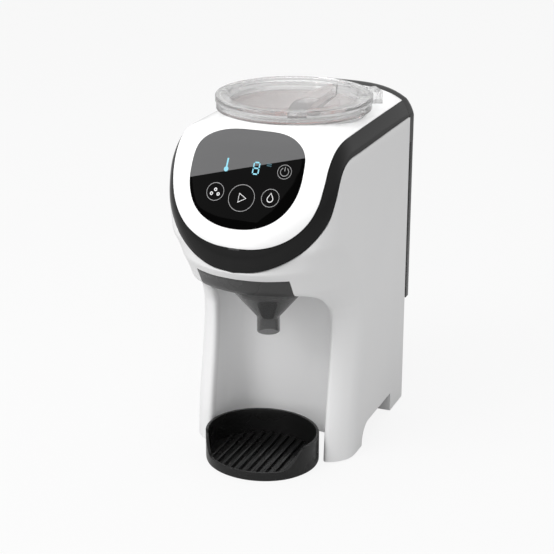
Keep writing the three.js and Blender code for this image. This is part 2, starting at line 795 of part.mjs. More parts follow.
function driveMotor() {
  const top = chassisTop - chassisThick - gap;
  return bar(motorRadius, top - motorTall, top, motorX, motorY, 28)
    .add(bar(shelfHole / 2 - gap, top - gap, chassisTop + gap, motorX, motorY, 20))
    .add(bar(motorShaft, top, gearTop, motorX, motorY, 16));
}

// Hopper well: the fixed cup in the deck that the hopper drops into, and the powder chute below it
const wellWall = 2;
const wellDrop = 0.5;
const wellTop = hopperSeatZ - wellDrop;
const wellDeep = 6;
const wellBottom = hopperFloorZ - wellDeep;
const outletInset = 12;
const outletReach = hopperRadius - outletInset;
const outletRadius = 8.5;
const chuteRadius = 12;
const chuteRise = 3;
const chuteEnd = drawerTop + chuteRise;
const outletY = hopperY - outletReach;

function hopperWell() {
  return turned([
    [hubRadius + slideGap, wellBottom], [wellRadius, wellBottom], [wellRadius, wellTop],
    [wellRadius - wellWall, wellTop], [wellRadius - wellWall, wellBottom + wellWall],
    [hubRadius + slideGap, wellBottom + wellWall]], 0, hopperY, 40)
    .subtract(bar(outletRadius + wellWall, wellBottom - overrun, wellBottom + overrun, 0, outletY, 24));
}

function powderChute() {
  return turned([
    [chuteRadius - wellWall, chuteEnd], [chuteRadius, chuteEnd], [chuteRadius, wellBottom - gap],
    [chuteRadius - wellWall, wellBottom - gap]], 0, outletY, 28);
}

// Powder hopper: clear canister with a ring that stands on the deck
const ringTall = 5.9;
const hopperRingTop = hopperSeatZ + ringTall;
const hopperRingWall = 2;
const spindleRadius = 3.4;
const floorThick = 2.5;

function hopper() {
  const inside = hopperRadius - hopperWall;
  const bore = spindleRadius + slideGap;
  return turned([
    [bore, hopperFloorZ], [hopperRadius, hopperFloorZ], [hopperRadius, hopperSeatZ],
    [hopperFlangeRadius, hopperSeatZ], [hopperFlangeRadius, hopperRingTop],
    [hopperFlangeRadius - hopperRingWall, hopperRingTop],
    [hopperFlangeRadius - hopperRingWall, hopperSeatZ + hopperWall],
    [inside, hopperSeatZ + hopperWall], [inside, hopperFloorZ + floorThick],
    [bore, hopperFloorZ + floorThick]], 0, hopperY, 40)
    .subtract(bar(outletRadius, hopperFloorZ - overrun, hopperFloorZ + overrun, 0, outletY, 24));
}

// Dosing wheel, scraper, stirring wheel and the spindle that carries both wheels
const wheelThick = 6;
const wheelClear = 0.8;
const wheelRadius = hopperRadius - hopperWall - wheelClear;
const pocketRadius = 7.5;
const pocketCount = 6;
const wheelBottom = hopperFloorZ + floorThick + gap;
const wheelTop = wheelBottom + wheelThick;
const scraperThick = 2;
const scraperHalf = 13;
const scraperReach = 24;
const scraperTop = wheelTop + gap + scraperThick;
const stirHub = 8;
const stirHubTall = 9;
const stirArms = 4;
const stirArmHalf = 2.5;
const stirArmTall = 5;
const stirClear = 7;
const stirReach = hopperRadius - stirClear;
const stirFinger = 2.2;
const stirFingerTop = 0.8982 * height;
const fingerInset = 9;
const stirFingerReach = stirReach - fingerInset;

function dosingWheel() {
  let wheel = bar(wheelRadius, wheelBottom, wheelTop, 0, hopperY, 40)
    .subtract(bar(spindleRadius + gap, wheelBottom - overrun, wheelTop + overrun, 0, hopperY, 20));
  for (let k = 0; k < pocketCount; k += 1) {
    const angle = (2 * Math.PI * (k + 0.5)) / pocketCount - Math.PI / 2;
    wheel = wheel.subtract(bar(pocketRadius, wheelBottom - overrun, wheelTop + overrun,
      outletReach * Math.cos(angle), hopperY + outletReach * Math.sin(angle), 12));
  }
  return wheel;
}

function scraperPlate() {
  const inside = hopperRadius - hopperWall - gap;
  return box(-scraperHalf, scraperHalf, hopperY - hopperRadius, hopperY - hopperRadius + scraperReach,
    wheelTop + gap, scraperTop).intersect(bar(inside, wheelBottom, height, 0, hopperY, 40));
}

function stirWheel() {
  const bottom = scraperTop + gap;
  let wheel = bar(stirHub, wheelTop + gap, bottom + stirHubTall, 0, hopperY, 24);
  for (let k = 0; k < stirArms; k += 1) {
    const angle = (2 * Math.PI * (k + 0.5)) / stirArms;
    const arm = new THREE.BoxGeometry(stirReach, 2 * stirArmHalf, stirArmTall);
    arm.translate(stirReach / 2, 0, bottom + stirArmTall / 2).rotateZ(angle).translate(0, hopperY, 0);
    wheel = wheel.add(solidOf(arm)).add(bar(stirFinger, bottom + gap, stirFingerTop,
      stirFingerReach * Math.cos(angle), hopperY + stirFingerReach * Math.sin(angle), 12));
  }
  return wheel.subtract(bar(spindleRadius + gap, wheelTop - overrun, height, 0, hopperY, 20));
}

function wheelSpindle() {
  const cap = scraperTop + gap + stirHubTall + gap;
  return bar(spindleRadius, hopperFloorZ - overrun, cap + gap, 0, hopperY, 20)
    .add(bar(dogRadius, gearTop + slideGap, hopperFloorZ - slideGap, 0, hopperY, 6))
    .add(bar(stirHub - spindleRadius / 2, cap, cap + spindleRadius, 0, hopperY, 20));
}

// Hopper lid: clear, dished on both sides of a raised grip, with a finger tab at the rim
const lidProud = 0.8;
const lidRadius = hopperFlangeRadius + lidProud;
const lidClear = 0.4;
const lidBottom = hopperRingTop + lidClear;
const lidDishRadius = hopperRadius - hopperWall;
const dishSink = 1.2;
const lidDishFloor = hopperSeatZ - dishSink;
const lidWall = 2;
const lidRim = height;
const gripDrop = 1.4;
const gripTop = height - gripDrop;
const gripReach = lidDishRadius + lidWall;
const gripLeft = 8;
const gripBow = 10;
const gripRightFront = 32;
const gripRightRear = 21.6;
const tabLong = 12.5;
const tabReach = hopperFlangeRadius + tabLong;
const tabFrom = 26;
const tabTo = 44;
const tabRise = 1.3;
const tabBottom = hopperSeatZ + tabRise;
const sealWide = 2.3;
const sealTall = 1.5;

function hopperLid() {
  const dish = turned([
    [0, lidDishFloor], [lidDishRadius - lidWall, lidDishFloor], [lidDishRadius + gap, lidBottom],
    [lidRadius, lidBottom], [lidRadius, lidRim - gap], [lidRadius - lidWall, lidRim],
    [lidDishRadius + lidWall, lidRim], [lidDishRadius, lidRim - lidWall / 2],
    [lidDishRadius - 2 * lidWall, lidDishFloor + lidWall],
    [0, lidDishFloor + lidWall]], 0, hopperY, 40);
  const grip = [];
  const steps = 10;
  for (let k = 0; k <= steps; k += 1) {
    const share = (2 * k) / steps - 1;
    grip.push(new THREE.Vector2(gripLeft + gripBow * share * share, hopperY + gripReach * share));
  }
  grip.push(new THREE.Vector2(gripRightRear, hopperY + gripReach));
  grip.push(new THREE.Vector2(gripRightFront, hopperY - gripReach));
  const dishRoom = turned([
    [0, lidDishFloor], [lidDishRadius - lidWall - gap, lidDishFloor], [lidDishRadius + lidWall - gap, lidRim],
    [0, lidRim]], 0, hopperY, 40);
  const handle = raised(grip, lidDishFloor + lidWall / 2, gripTop).intersect(dishRoom);
  const tab = [];
  for (let k = 0; k <= 6; k += 1) {
    const angle = THREE.MathUtils.degToRad(tabFrom + ((tabTo - tabFrom) * k) / 6);
    tab.push(new THREE.Vector2(tabReach * Math.cos(angle), hopperY + tabReach * Math.sin(angle)));
  }
  for (let k = 6; k >= 0; k -= 1) {
    const angle = THREE.MathUtils.degToRad(tabFrom + ((tabTo - tabFrom) * k) / 6);
    const reach = hopperFlangeRadius + gap + gap;
    tab.push(new THREE.Vector2(reach * Math.cos(angle), hopperY + reach * Math.sin(angle)));
  }
  return dish.add(handle).add(raised(tab, tabBottom, lidRim - gap));
}

function lidSeal() {
  const outer = hopperFlangeRadius - hopperRingWall - gap;
  const top = lidBottom - gap;
  return turned([
    [outer - sealWide, top - sealTall], [outer, top - sealTall], [outer, top], [outer - sealWide, top]],
  0, hopperY, 40);
}

// Tank bay: the open-backed pocket in the rear of the body, and the tank that slides into it
const tankDeep = 13.1;
const tankRear = bodyRear + tankDeep;
const tankHalfWidth = halfWidth - slideGap;
const tankCorner = 10.5;
const tankWall = 2;
const pocketSide = 14;
const tankPocketHalf = halfWidth - pocketSide;
const pocketDeep = 29;
const tankPocketFront = bodyRear - pocketDeep;
const bayWall = 2;
const bayInnerHalf = bayMouth;
const pocketClear = 1.5;
const bayInnerFront = tankPocketFront - pocketClear;
const bayCeiling = 0.86826 * height;
const tankSeat = bodyRear + gap;
const valveX = 30;
const valveInset = 15;
const valveY = bodyRear - valveInset;
const valveHole = 6.3;

function tankBay() {
  const outer = bayInnerHalf + bayWall;
  const rear = bodyRear - shellWall - gap;
  return box(-outer, outer, bayInnerFront - bayWall, rear, tankBottom - gap - bayWall, bayCeiling)
    .subtract(box(-bayInnerHalf, bayInnerHalf, bayInnerFront, rear + overrun, tankBottom - gap, height))
    .subtract(bar(valveHole + bayWall, tankBottom - overrun - bayWall, tankBottom + overrun,
      valveX, valveY, 24));
}

function tankPlan(inset) {
  const pocket = tankPocketHalf - inset;
  const side = tankHalfWidth - inset;
  const front = tankPocketFront + inset;
  const step = tankSeat + inset;
  const rear = tankRear - inset;
  const corner = tankCorner - inset;
  return rounded([
    [-pocket, front, bayWall], [pocket, front, bayWall], [pocket, step, 0], [side, step, 0],
    [side, rear, corner], [-side, rear, corner], [-side, step, 0], [-pocket, step, 0]]);
}

function waterTank() {
  return raised(tankPlan(0), tankBottom, tankLevel)
    .subtract(raised(tankPlan(tankWall), tankBottom + tankWall, height))
    .subtract(bar(valveHole, tankBottom - overrun, tankBottom + overrun, valveX, valveY, 20));
}

// Tank lid: black cap that carries the line of the deck and band on to the rear
const lidSkirt = 0.80838 * height;
const levelDrop = 0.4;
const tankLevel = lidSkirt - levelDrop;
const lidOverDeck = 0.88982 * height;
const lidRearRound = 12;
const tankLidWall = 2.5;
const lidSliceShares = [0, 0.3, 0.55, 0.75, 0.88, 0.96, 1];
const lidCrownRise = 2.5;

function tankLidSection(y, inset) {
  const past = Math.max(0, y - (tankRear - lidRearRound)) / lidRearRound;
  const sink = lidRearRound * (1 - Math.sqrt(Math.max(0, 1 - past * past)));
  const shrink = 1 - (sink + inset) / halfWidth;
  const band = bandLoop(1, 1).slice(0, 4);
  const crown = acrossShares.slice(6).reverse().map((across) => {
    const point = crowned(across * deckEdgeShare, 1);
    point.z += lidCrownRise * (1 - across ** 2) * Math.min(1, (y - deckRear) / (2 * lidRearRound));
    return point;
  });
  const right = [...band, ...crown];
  const left = right.slice(0, -1).reverse().map((p) => new THREE.Vector3(-p.x, p.y, p.z));
  const low = new THREE.Vector3(right[0].x, 0, lidSkirt);
  const top = [low, ...right, ...left, new THREE.Vector3(-low.x, 0, lidSkirt)];
  return top.map((p) => {
    const rise = p.z > lidSkirt ? sink * 0.5 + inset : 0;
    return new THREE.Vector3(p.x * shrink, y, Math.max(lidSkirt, p.z - rise));
  });
}

function tankLidBlock(front, rear, inset) {
  const loops = lidSliceShares.map((share) => {
    const section = tankLidSection(front + (rear - front) * share, inset);
    const foot = section.map((p) => new THREE.Vector3(p.x, p.y, lidSkirt - (inset > 0 ? overrun : 0)));
    return [...section, ...foot.reverse()];
  });
  return lofted(loops);
}

function tankLid() {
  const front = deckRear + gap;
  return tankLidBlock(front, tankRear, 0)
    .subtract(tankLidBlock(front + tankLidWall, tankRear - tankLidWall, tankLidWall))
    .subtract(box(-width, width, -depth, tankSeat, 0, lidOverDeck));
}

// Tank valve: a sprung plunger over a seal, held open by the pin in the dock while the tank is in
const plungerRadius = 8.2;
const plungerStem = 3;
const plungerThick = 2;
const plungerReach = 4;
const plungerFoot = tankBottom - plungerReach;
const sealThick = 1.2;
const cageRadius = 11.5;
const cageWall = 1.5;
const cageTall = 20;
const cageTop = tankBottom + cageTall;
const springRadius = 5;
const springWire = 0.7;
const springTurns = 5;
const dockRadius = 9.5;
const dockTall = 20;
const dockBottom = tankBottom - dockTall;
const nippleRadius = 3;
const nippleLong = 8;
const nippleEnd = dockBottom - nippleLong;
const cageSlot = 3;
const valveFloor = tankBottom + tankWall + gap;
const valveLift = 2;
const plungerTop = valveFloor + sealThick + gap + valveLift + plungerThick;

function valveSeal() {
  return turned([
    [valveHole + gap, valveFloor], [plungerRadius, valveFloor], [plungerRadius, valveFloor + sealThick],
    [valveHole + gap, valveFloor + sealThick]], valveX, valveY, 24);
}

function tankValve() {
  return bar(plungerStem, plungerFoot, plungerTop - gap, valveX, valveY, 16)
    .add(bar(plungerRadius, plungerTop - plungerThick, plungerTop, valveX, valveY, 24));
}

function valveCage() {
  const inner = cageRadius - cageWall;
  return turned([
    [inner, valveFloor], [cageRadius, valveFloor], [cageRadius, cageTop], [0, cageTop],
    [0, cageTop - cageWall], [inner, cageTop - cageWall]], valveX, valveY, 24)
    .subtract(box(valveX - cageSlot, valveX + cageSlot, valveY - 2 * cageRadius, valveY + 2 * cageRadius,
      plungerTop, cageTop - 2 * cageWall));
}

function valveSpring() {
  const from = plungerTop + gap + springWire;
  const to = cageTop - cageWall - gap - springWire;
  const points = [];
  const steps = springTurns * 8;
  for (let k = 0; k <= steps; k += 1) {
    const angle = (2 * Math.PI * k) / 8;
    points.push([valveX + springRadius * Math.cos(angle), valveY + springRadius * Math.sin(angle),
      from + ((to - from) * k) / steps]);
  }
  return hose(points, springWire, 5, steps);
}

function dockValve() {
  const top = tankBottom - gap - bayWall - gap;
  return turned([
    [0, dockBottom], [dockRadius, dockBottom], [dockRadius, top], [dockRadius - bayWall, top],
    [dockRadius - bayWall, dockBottom + bayWall], [0, dockBottom + bayWall]], valveX, valveY, 24)
    .add(bar(plungerStem, dockBottom, plungerFoot - gap, valveX, valveY, 16))
    .add(bar(nippleRadius, nippleEnd, dockBottom + bayWall, valveX, valveY, 16));
}

// Water path: pump, flow meter, flow heater with its thermostat, hoses and nozzle
const floorZ = baseTop + gap;
const pumpX = 30;
const pumpInset = 59;
const pumpY = bodyRear - pumpInset;
const pumpHalf = 18;
const pumpTall = 34;
const pumpCanRadius = 14;
const pumpCanTall = 30;
const boardSide = 14;
const powerBoardX = boardSide - halfWidth;
const meterStep = 34;
const meterX = powerBoardX + meterStep;
const meterInset = 51;
const meterY = bodyRear - meterInset;
const meterHalf = 13;
const meterTall = 22;
const heaterRadius = 16;
const heaterX = hosePassX;
const heaterBottom = 58;
const heaterTop = 0.54491 * height;
const heaterY = chassisFront + chassisThick + gap + heaterRadius;
const thermostatRadius = 7;
const thermostatThick = 5;
const thermostatZ = 0.4491 * height;
const heaterInletZ = 76;
const pumpPortZ = 44;
const nozzleHalf = 6;
const nozzleRise = 7;
const nozzleBottom = drawerTop + nozzleRise;
const nozzleTall = 16;
const nozzleTop = nozzleBottom + nozzleTall;
const nozzleReach = 25.4;
const nozzleFront = funnelY - nozzleReach;
const nozzleSpout = 3.5;
const spoutRise = 2.5;
const nozzleSpoutEnd = drawerTop + spoutRise;
const spoutInset = 8;
const nozzleSpoutY = nozzleFront + spoutInset;
const bend = 12;

function waterPump() {
  const plan = rectangle(
    pumpX - pumpHalf, pumpX + pumpHalf, pumpY - pumpHalf, pumpY + pumpHalf, pumpHalf / 4);
  return raised(plan, floorZ, floorZ + pumpTall)
    .add(bar(pumpCanRadius, floorZ + pumpTall - gap, floorZ + pumpTall + pumpCanTall, pumpX, pumpY, 28));
}

function flowMeter() {
  const plan = rectangle(
    meterX - meterHalf, meterX + meterHalf, meterY - meterHalf, meterY + meterHalf, meterHalf / 4);
  return raised(plan, floorZ, floorZ + meterTall);
}

function flowHeater() {
  const capShare = 0.55;
  return bar(heaterRadius, heaterBottom, heaterTop, heaterX, heaterY, 32)
    .add(bar(heaterRadius * capShare, heaterBottom - overrun, heaterTop + overrun, heaterX, heaterY, 24));
}

function thermostat() {
  const from = heaterY + heaterRadius + gap;
  return bar(thermostatRadius, from, from + thermostatThick, heaterX, thermostatZ, 20, 'y');
}

function waterNozzle() {
  return box(-nozzleHalf, nozzleHalf, nozzleFront, outletY - chuteRadius - gap, nozzleBottom, nozzleTop)
    .add(bar(nozzleSpout, nozzleSpoutEnd, nozzleBottom + gap, 0, nozzleSpoutY, 16));
}

const suctionRoute = [
  [valveX, valveY, nippleEnd - gap], [valveX, valveY, nippleEnd - bend],
  [valveX, valveY - bend / 2, pumpPortZ + bend],
  [valveX, valveY - bend, pumpPortZ + bend / 4], [pumpX, pumpY + pumpHalf + bend, pumpPortZ],
  [pumpX, pumpY + pumpHalf + gap, pumpPortZ]];
const meterRoute = [
  [pumpX - pumpHalf - gap, pumpY, pumpPortZ], [pumpX - pumpHalf - bend, pumpY, pumpPortZ],
  [meterX + meterHalf + bend, meterY, floorZ + meterTall / 2],
  [meterX + meterHalf + gap, meterY, floorZ + meterTall / 2]];
const heaterRoute = [
  [meterX, meterY, floorZ + meterTall + gap], [meterX, meterY, floorZ + meterTall + bend],
  [meterX, meterY - bend, heaterInletZ - hoseRadius],
  [heaterX, heaterY + heaterRadius + bend, heaterInletZ],
  [heaterX, heaterY + heaterRadius + gap, heaterInletZ]];
const nozzleRoute = [
  [heaterX, heaterY, heaterTop + overrun + gap], [heaterX, heaterY, heaterTop + overrun + bend],
  [hosePassX, heaterY - bend, hosePassZ], [hosePassX, chassisFront, hosePassZ],
  [hosePassX, chassisFront - 2 * bend, hosePassZ], [hosePassX / 2, nozzleFront + 2 * bend, hosePassZ],
  [-nozzleHalf - bend, nozzleFront + bend, hosePassZ], [-nozzleHalf - gap, nozzleFront + bend, hosePassZ]];

// Electrical parts: power board, harness, funnel switch and the mains inlet in the rear cover
const powerBoardInset = 39;
const powerBoardLong = 48;
const powerBoardRear = bodyRear - powerBoardInset;
const powerBoardFront = powerBoardRear - powerBoardLong;
const powerBoardTop = tankBottom - plungerReach;
const coilHalf = 9;
const coilTall = 20;
const switchHalf = 8;
const switchStep = 1;
const switchLow = drawerBottom + switchStep;
const switchHigh = drawerTop - 2 * switchStep;
const inletInset = 22;
const inletX = rearOpeningHalf - inletInset;
const inletZ = 48;
const inletHalfWidth = 12;
const inletHalfTall = 8;
const inletDeep = 10;
const socketHalfWidth = 8;
const socketHalfTall = 4;
const socketDeep = 7;
const pinRadius = 1.2;
const pinApart = 4.3;
const ventCount = 7;
const ventPitch = 6;
const ventHalf = 1.2;
const ventLow = 66;
const ventHigh = rearOpeningTop - underTank;
const ventX = -24;

function powerBoard() {
  return box(powerBoardX, powerBoardX + boardThick, powerBoardFront, powerBoardRear, floorZ, powerBoardTop)
    .add(box(powerBoardX + boardThick - gap, powerBoardX + coilTall,
      powerBoardFront + coilHalf, powerBoardFront + 3 * coilHalf, floorZ + coilHalf, floorZ + 3 * coilHalf))
    .add(bar(coilHalf / 2, powerBoardX + boardThick - gap, powerBoardX + coilTall,
      powerBoardRear - coilHalf, floorZ + 5 * coilHalf, 16, 'x'));
}

function funnelSwitch() {
  return box(-switchHalf, switchHalf, drawerRear + gap, chassisFront - gap, switchLow, switchHigh);
}

function rearCover() {
  const half = rearOpeningHalf - gap;
  let cover = box(-half, half, bodyRear - shellWall, bodyRear,
    rearOpeningBottom + gap, rearOpeningTop - gap)
    .subtract(box(inletX - inletHalfWidth - gap, inletX + inletHalfWidth + gap,
      bodyRear - overrun, bodyRear + overrun, inletZ - inletHalfTall - gap, inletZ + inletHalfTall + gap));
  for (let k = 0; k < ventCount; k += 1) {
    const x = ventX + k * ventPitch - ((ventCount - 1) * ventPitch) / 2;
    cover = cover.subtract(box(x - ventHalf, x + ventHalf, bodyRear - overrun, bodyRear + overrun,
      ventLow, ventHigh));
  }
  return cover;
}

function powerInlet() {
  let inlet = box(inletX - inletHalfWidth, inletX + inletHalfWidth, bodyRear - inletDeep, bodyRear,
    inletZ - inletHalfTall, inletZ + inletHalfTall)
    .subtract(box(inletX - socketHalfWidth, inletX + socketHalfWidth,
      bodyRear - socketDeep, bodyRear + overrun, inletZ - socketHalfTall, inletZ + socketHalfTall));
  [-1, 1].forEach((side) => {
    inlet = inlet.add(bar(pinRadius, bodyRear - socketDeep - gap, bodyRear - gap,
      inletX + side * pinApart, inletZ, 10, 'y'));
  });
  return inlet;
}

const wireRadius = 1.6;
const boardMiddle = (powerBoardFront + powerBoardRear) / 2;
const harnessRise = boardLow - powerBoardTop;
const harnessRoute = [
  [powerBoardX + boardThick / 2, boardMiddle, powerBoardTop + gap],
  [powerBoardX, boardMiddle, powerBoardTop + 0.234 * harnessRise],
  [powerBoardX - 2 * wireRadius, powerBoardFront, powerBoardTop + 0.545 * harnessRise],
  [powerBoardX, powerBoardFront - 2 * bend, powerBoardTop + 0.701 * harnessRise],
  [powerBoardX + 2 * bend, -5 * bend, powerBoardTop + 0.857 * harnessRise],
  [-2 * bend, -6.5 * bend, boardLow]];

const white = 0xf2f2f0;
const blackGloss = 0x141414;
const blackSatin = 0x1c1c1c;
const silver = 0xbfbfbf;
const smoke = 0x4a4a4a;
const clear = 0xdfe3e4;
const coral = 0xe8927c;
const rubberGrey = 0x303030;
const steel = 0xb8bcc0;
const brassWire = 0xc9a45a;
const boardGreen = 0x2f5d3a;
const natural = 0xe6e1d3;

add('main_shell', mainShell(), white, 0.3);
add('top_deck', topDeck().subtract(facePatch(lensOutline(gap), 2 * gap, -lensDepth - gap)), white, 0.15);
add('trim_band', trimBand(), blackGloss, 0.12);
add('control_lens', facePatch(lensOutline(0), lensProud, -lensDepth), blackGloss, 0.05);
add('display_module', facePatch(evenRows(displayLow, displayHigh, displayHalfWidth, 4), displayFront,
  displayFront - displayThick), blackSatin, 0.4);
add('control_board', facePatch(evenRows(boardLow, boardHigh, boardHalfWidth, 8), boardFront,
  boardFront - boardThick), boardGreen, 0.5);
add('bay_liner', bayLiner(), silver, 0.35);
add('base_plate', basePlate(), silver, 0.5);
[-1, 1].forEach((side) => {
  const place = side < 0 ? 'left' : 'right';
  const pad = (y) => bar(footPadRadius, 0, footBottom - gap, side * footX, y, 20);
  add(`foot_pad_front_${place}`, pad(frontFootY), rubberGrey, 0.9);
  add(`foot_pad_rear_${place}`, pad(rearFootY), rubberGrey, 0.9);
});
screwPlaces.forEach(([x, y], i) => add(`base_screw_${i + 1}`, baseScrew(x, y), steel, 0.3, 1));
add('chassis', chassis(), natural, 0.5);
add('rear_cover', rearCover(), white, 0.4);
add('power_inlet', powerInlet(), blackSatin, 0.5);
add('drip_tray', dripTray(), blackSatin, 0.35);
add('funnel_holder', funnelHolder(), smoke, 0.3);
add('funnel', funnel(), smoke, 0.25);
add('funnel_switch', funnelSwitch(), blackSatin, 0.5);
add('hopper_well', hopperWell(), white, 0.3);
add('powder_chute', powderChute(), silver, 0.4);
add('hopper', hopper(), clear, 0.08);
add('dosing_wheel', dosingWheel(), coral, 0.4);
add('scraper_plate', scraperPlate(), clear, 0.2);
add('stir_wheel', stirWheel(), coral, 0.4);
add('wheel_spindle', wheelSpindle(), steel, 0.3, 1);
add('hopper_lid', hopperLid(), clear, 0.06);
add('lid_seal', lidSeal(), silver, 0.8);
add('drive_gear', driveGear(), natural, 0.5);
add('motor_pinion', motorPinion(), natural, 0.5);
add('drive_motor', driveMotor(), steel, 0.35, 1);
add('tank_bay', tankBay(), silver, 0.5);
add('water_tank', waterTank(), smoke, 0.08);
add('tank_lid', tankLid(), blackGloss, 0.15);
add('tank_valve', tankValve(), blackSatin, 0.5);
add('valve_cage', valveCage(), clear, 0.3);
add('valve_seal', valveSeal(), rubberGrey, 0.9);
add('valve_spring', valveSpring(), steel, 0.3, 1);
add('dock_valve', dockValve(), blackSatin, 0.5);
add('water_pump', waterPump(), blackSatin, 0.5);
add('flow_meter', flowMeter(), natural, 0.5);
add('flow_heater', flowHeater(), steel, 0.35, 1);
add('thermostat', thermostat(), brassWire, 0.4, 1);
add('suction_hose', hose(suctionRoute, hoseRadius), natural, 0.5);
add('meter_hose', hose(meterRoute, hoseRadius), natural, 0.5);
add('heater_hose', hose(heaterRoute, hoseRadius), natural, 0.5);
add('nozzle_hose', hose(nozzleRoute, hoseRadius, 8, 32), natural, 0.5);
add('water_nozzle', waterNozzle(), natural, 0.5);
add('power_board', powerBoard(), boardGreen, 0.5);
add('wire_harness', hose(harnessRoute, wireRadius, 6, 28), rubberGrey, 0.7);

export default whole;
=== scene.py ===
import math
import bpy
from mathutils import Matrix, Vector


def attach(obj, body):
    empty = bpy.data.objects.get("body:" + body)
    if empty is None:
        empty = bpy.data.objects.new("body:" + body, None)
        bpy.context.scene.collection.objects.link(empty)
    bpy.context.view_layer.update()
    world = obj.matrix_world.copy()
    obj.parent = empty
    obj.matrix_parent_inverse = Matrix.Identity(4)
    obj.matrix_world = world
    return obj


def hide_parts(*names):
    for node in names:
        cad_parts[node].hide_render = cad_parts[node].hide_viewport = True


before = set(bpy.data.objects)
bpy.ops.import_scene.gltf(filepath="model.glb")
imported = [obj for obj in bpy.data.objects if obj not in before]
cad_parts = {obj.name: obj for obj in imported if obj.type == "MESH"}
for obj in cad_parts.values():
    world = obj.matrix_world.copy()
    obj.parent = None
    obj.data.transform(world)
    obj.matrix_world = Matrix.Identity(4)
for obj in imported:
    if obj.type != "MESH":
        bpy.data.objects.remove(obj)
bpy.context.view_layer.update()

# Body shell
# The real piece is one thin moulding in pale satin plastic: two sides, two columns and the neck.
# The mouths of bay and drawer and the foot arches are moulded open, and screws from below hold it down.

mm = 0.001
half_width = 80
half_depth = 129
height = 334
crest_gap = 0.3
shell_wall = 2.5
deck_rear = 110
body_rear = 117
rear_corner = 6
head_z = 0.889 * height

# Across, front to back and height of the right half of the line between the body and the black band
outer_edge_shares = [
    (0, -1, 0.617), (0.2625, -0.986, 0.624), (0.5, -0.939, 0.6437), (0.7125, -0.87, 0.6766),
    (0.8625, -0.7985, 0.717), (0.95, -0.739, 0.7575), (0.9875, -0.686, 0.804), (1, -0.632, 0.8473),
    (1, -0.562, 0.8743), (1, -0.4574, 0.8886), (1, -0.2326, 0.8892), (1, 0.659, 0.8886),
    (1, 0.8527, 0.8877),
]
# Height, front at the corners, front in the middle, corner radius
body_row_shares = [
    (0, -0.45, -0.45, 0.35), (0.1, -0.43, -0.43, 0.355), (0.38, -0.336, -0.336, 0.4),
    (0.413, -0.334, -0.338, 0.39), (0.449, -0.345, -0.4, 0.37), (0.473, -0.366, -0.5, 0.37),
    (0.509, -0.415, -0.7, 0.39), (0.542, -0.48, -0.86, 0.41), (0.565, -0.513, -0.9, 0.4),
    (0.587, -0.545, -0.94, 0.38), (0.605, -0.57, -0.98, 0.35), (0.617, -0.588, -1, 0.33),
    (0.647, -0.64, -1, 0.26), (0.68, -0.71, -1, 0.19), (0.784, -0.713, -1, 0.1),
    (0.889, -0.713, -1, 0.1),
]
body_rows = [(z * height, corner * half_depth, middle * half_depth, radius * half_width)
             for z, corner, middle, radius in body_row_shares]
front_arc = 0.762
weld = 0.01


def line_of(shares):
    return [Vector((x * half_width, y * half_depth, z * height)) for x, y, z in shares]


def on_line(line, station):
    last = len(line) - 1
    place = min(max(station, 0), 1) * last
    k = min(int(place), last - 1)
    u = place - k
    b, c = line[k], line[k + 1]
    a = line[k - 1] if k > 0 else 2 * b - c
    d = line[k + 2] if k + 2 <= last else 2 * c - b
    one = max((c - b).length_squared ** 0.25, 1e-4)
    before = (b - a).length_squared ** 0.25
    after = (d - c).length_squared ** 0.25
    before = before if before > 1e-4 else one
    after = after if after > 1e-4 else one
    start = ((b - a) / before - (c - a) / (before + one) + (c - b) / one) * one
    end = ((c - b) / one - (d - b) / (one + after) + (d - c) / after) * one
    point = b + start * u + (3 * (c - b) - 2 * start - end) * u * u + (2 * (b - c) + start + end) * u ** 3
    point.x = min(point.x, half_width)
    return point


def slopes_of(column):
    steps = [(body_rows[k + 1][0] - body_rows[k][0]) for k in range(len(body_rows) - 1)]
    rises = [(body_rows[k + 1][column] - body_rows[k][column]) / steps[k] for k in range(len(steps))]
    slopes = [rises[0]]
    for k in range(1, len(rises)):
        one, two = rises[k - 1], rises[k]
        slopes.append(0 if one * two <= 0 else 2 * one * two / (one + two))
    slopes.append(rises[-1])
    return slopes


row_slopes = [None] + [slopes_of(column) for column in (1, 2, 3)]


def body_row_at(z):
    k = next((i for i in range(1, len(body_rows)) if body_rows[i][0] >= z), len(body_rows) - 1)
    low, high = body_rows[k - 1], body_rows[k]
    step = high[0] - low[0]
    u = min(1, max(0, (z - low[0]) / step))
    found = []
    for i in (1, 2, 3):
        one, two = row_slopes[i][k - 1] * step, row_slopes[i][k] * step
        found.append(low[i] + one * u + (3 * (high[i] - low[i]) - 2 * one - two) * u * u
                     + (2 * (low[i] - high[i]) + one + two) * u ** 3)
    return found


def front_at(x, z):
    corner, middle, radius = body_row_at(z)
    share = min(1, abs(x) / half_width)
    bow = (1 - math.sqrt(1 - (front_arc * share) ** 2)) / (1 - math.sqrt(1 - front_arc ** 2))
    past = max(0, min(1, (abs(x) - (half_width - radius)) / radius))
    return middle + (corner - middle) * bow + radius * (1 - math.sqrt(1 - past * past))


def body_point(top, z):
    if top.y > deck_rear:
        return Vector((top.x, top.y, z))
    if top.x < half_width:
        return Vector((top.x, top.y + front_at(top.x, z) - front_at(top.x, head_z), z))
    share = (deck_rear - top.y) / (deck_rear - front_at(half_width, head_z))
    return Vector((top.x, deck_rear - share * (deck_rear - front_at(half_width, z)), z))


def work_on(piece):
    bpy.ops.object.select_all(action="DESELECT")
    piece.select_set(True)
    bpy.context.view_layer.objects.active = piece


def opened(piece):
    work_on(piece)
    bpy.ops.object.mode_set(mode="EDIT")
    bpy.ops.mesh.select_all(action="SELECT")


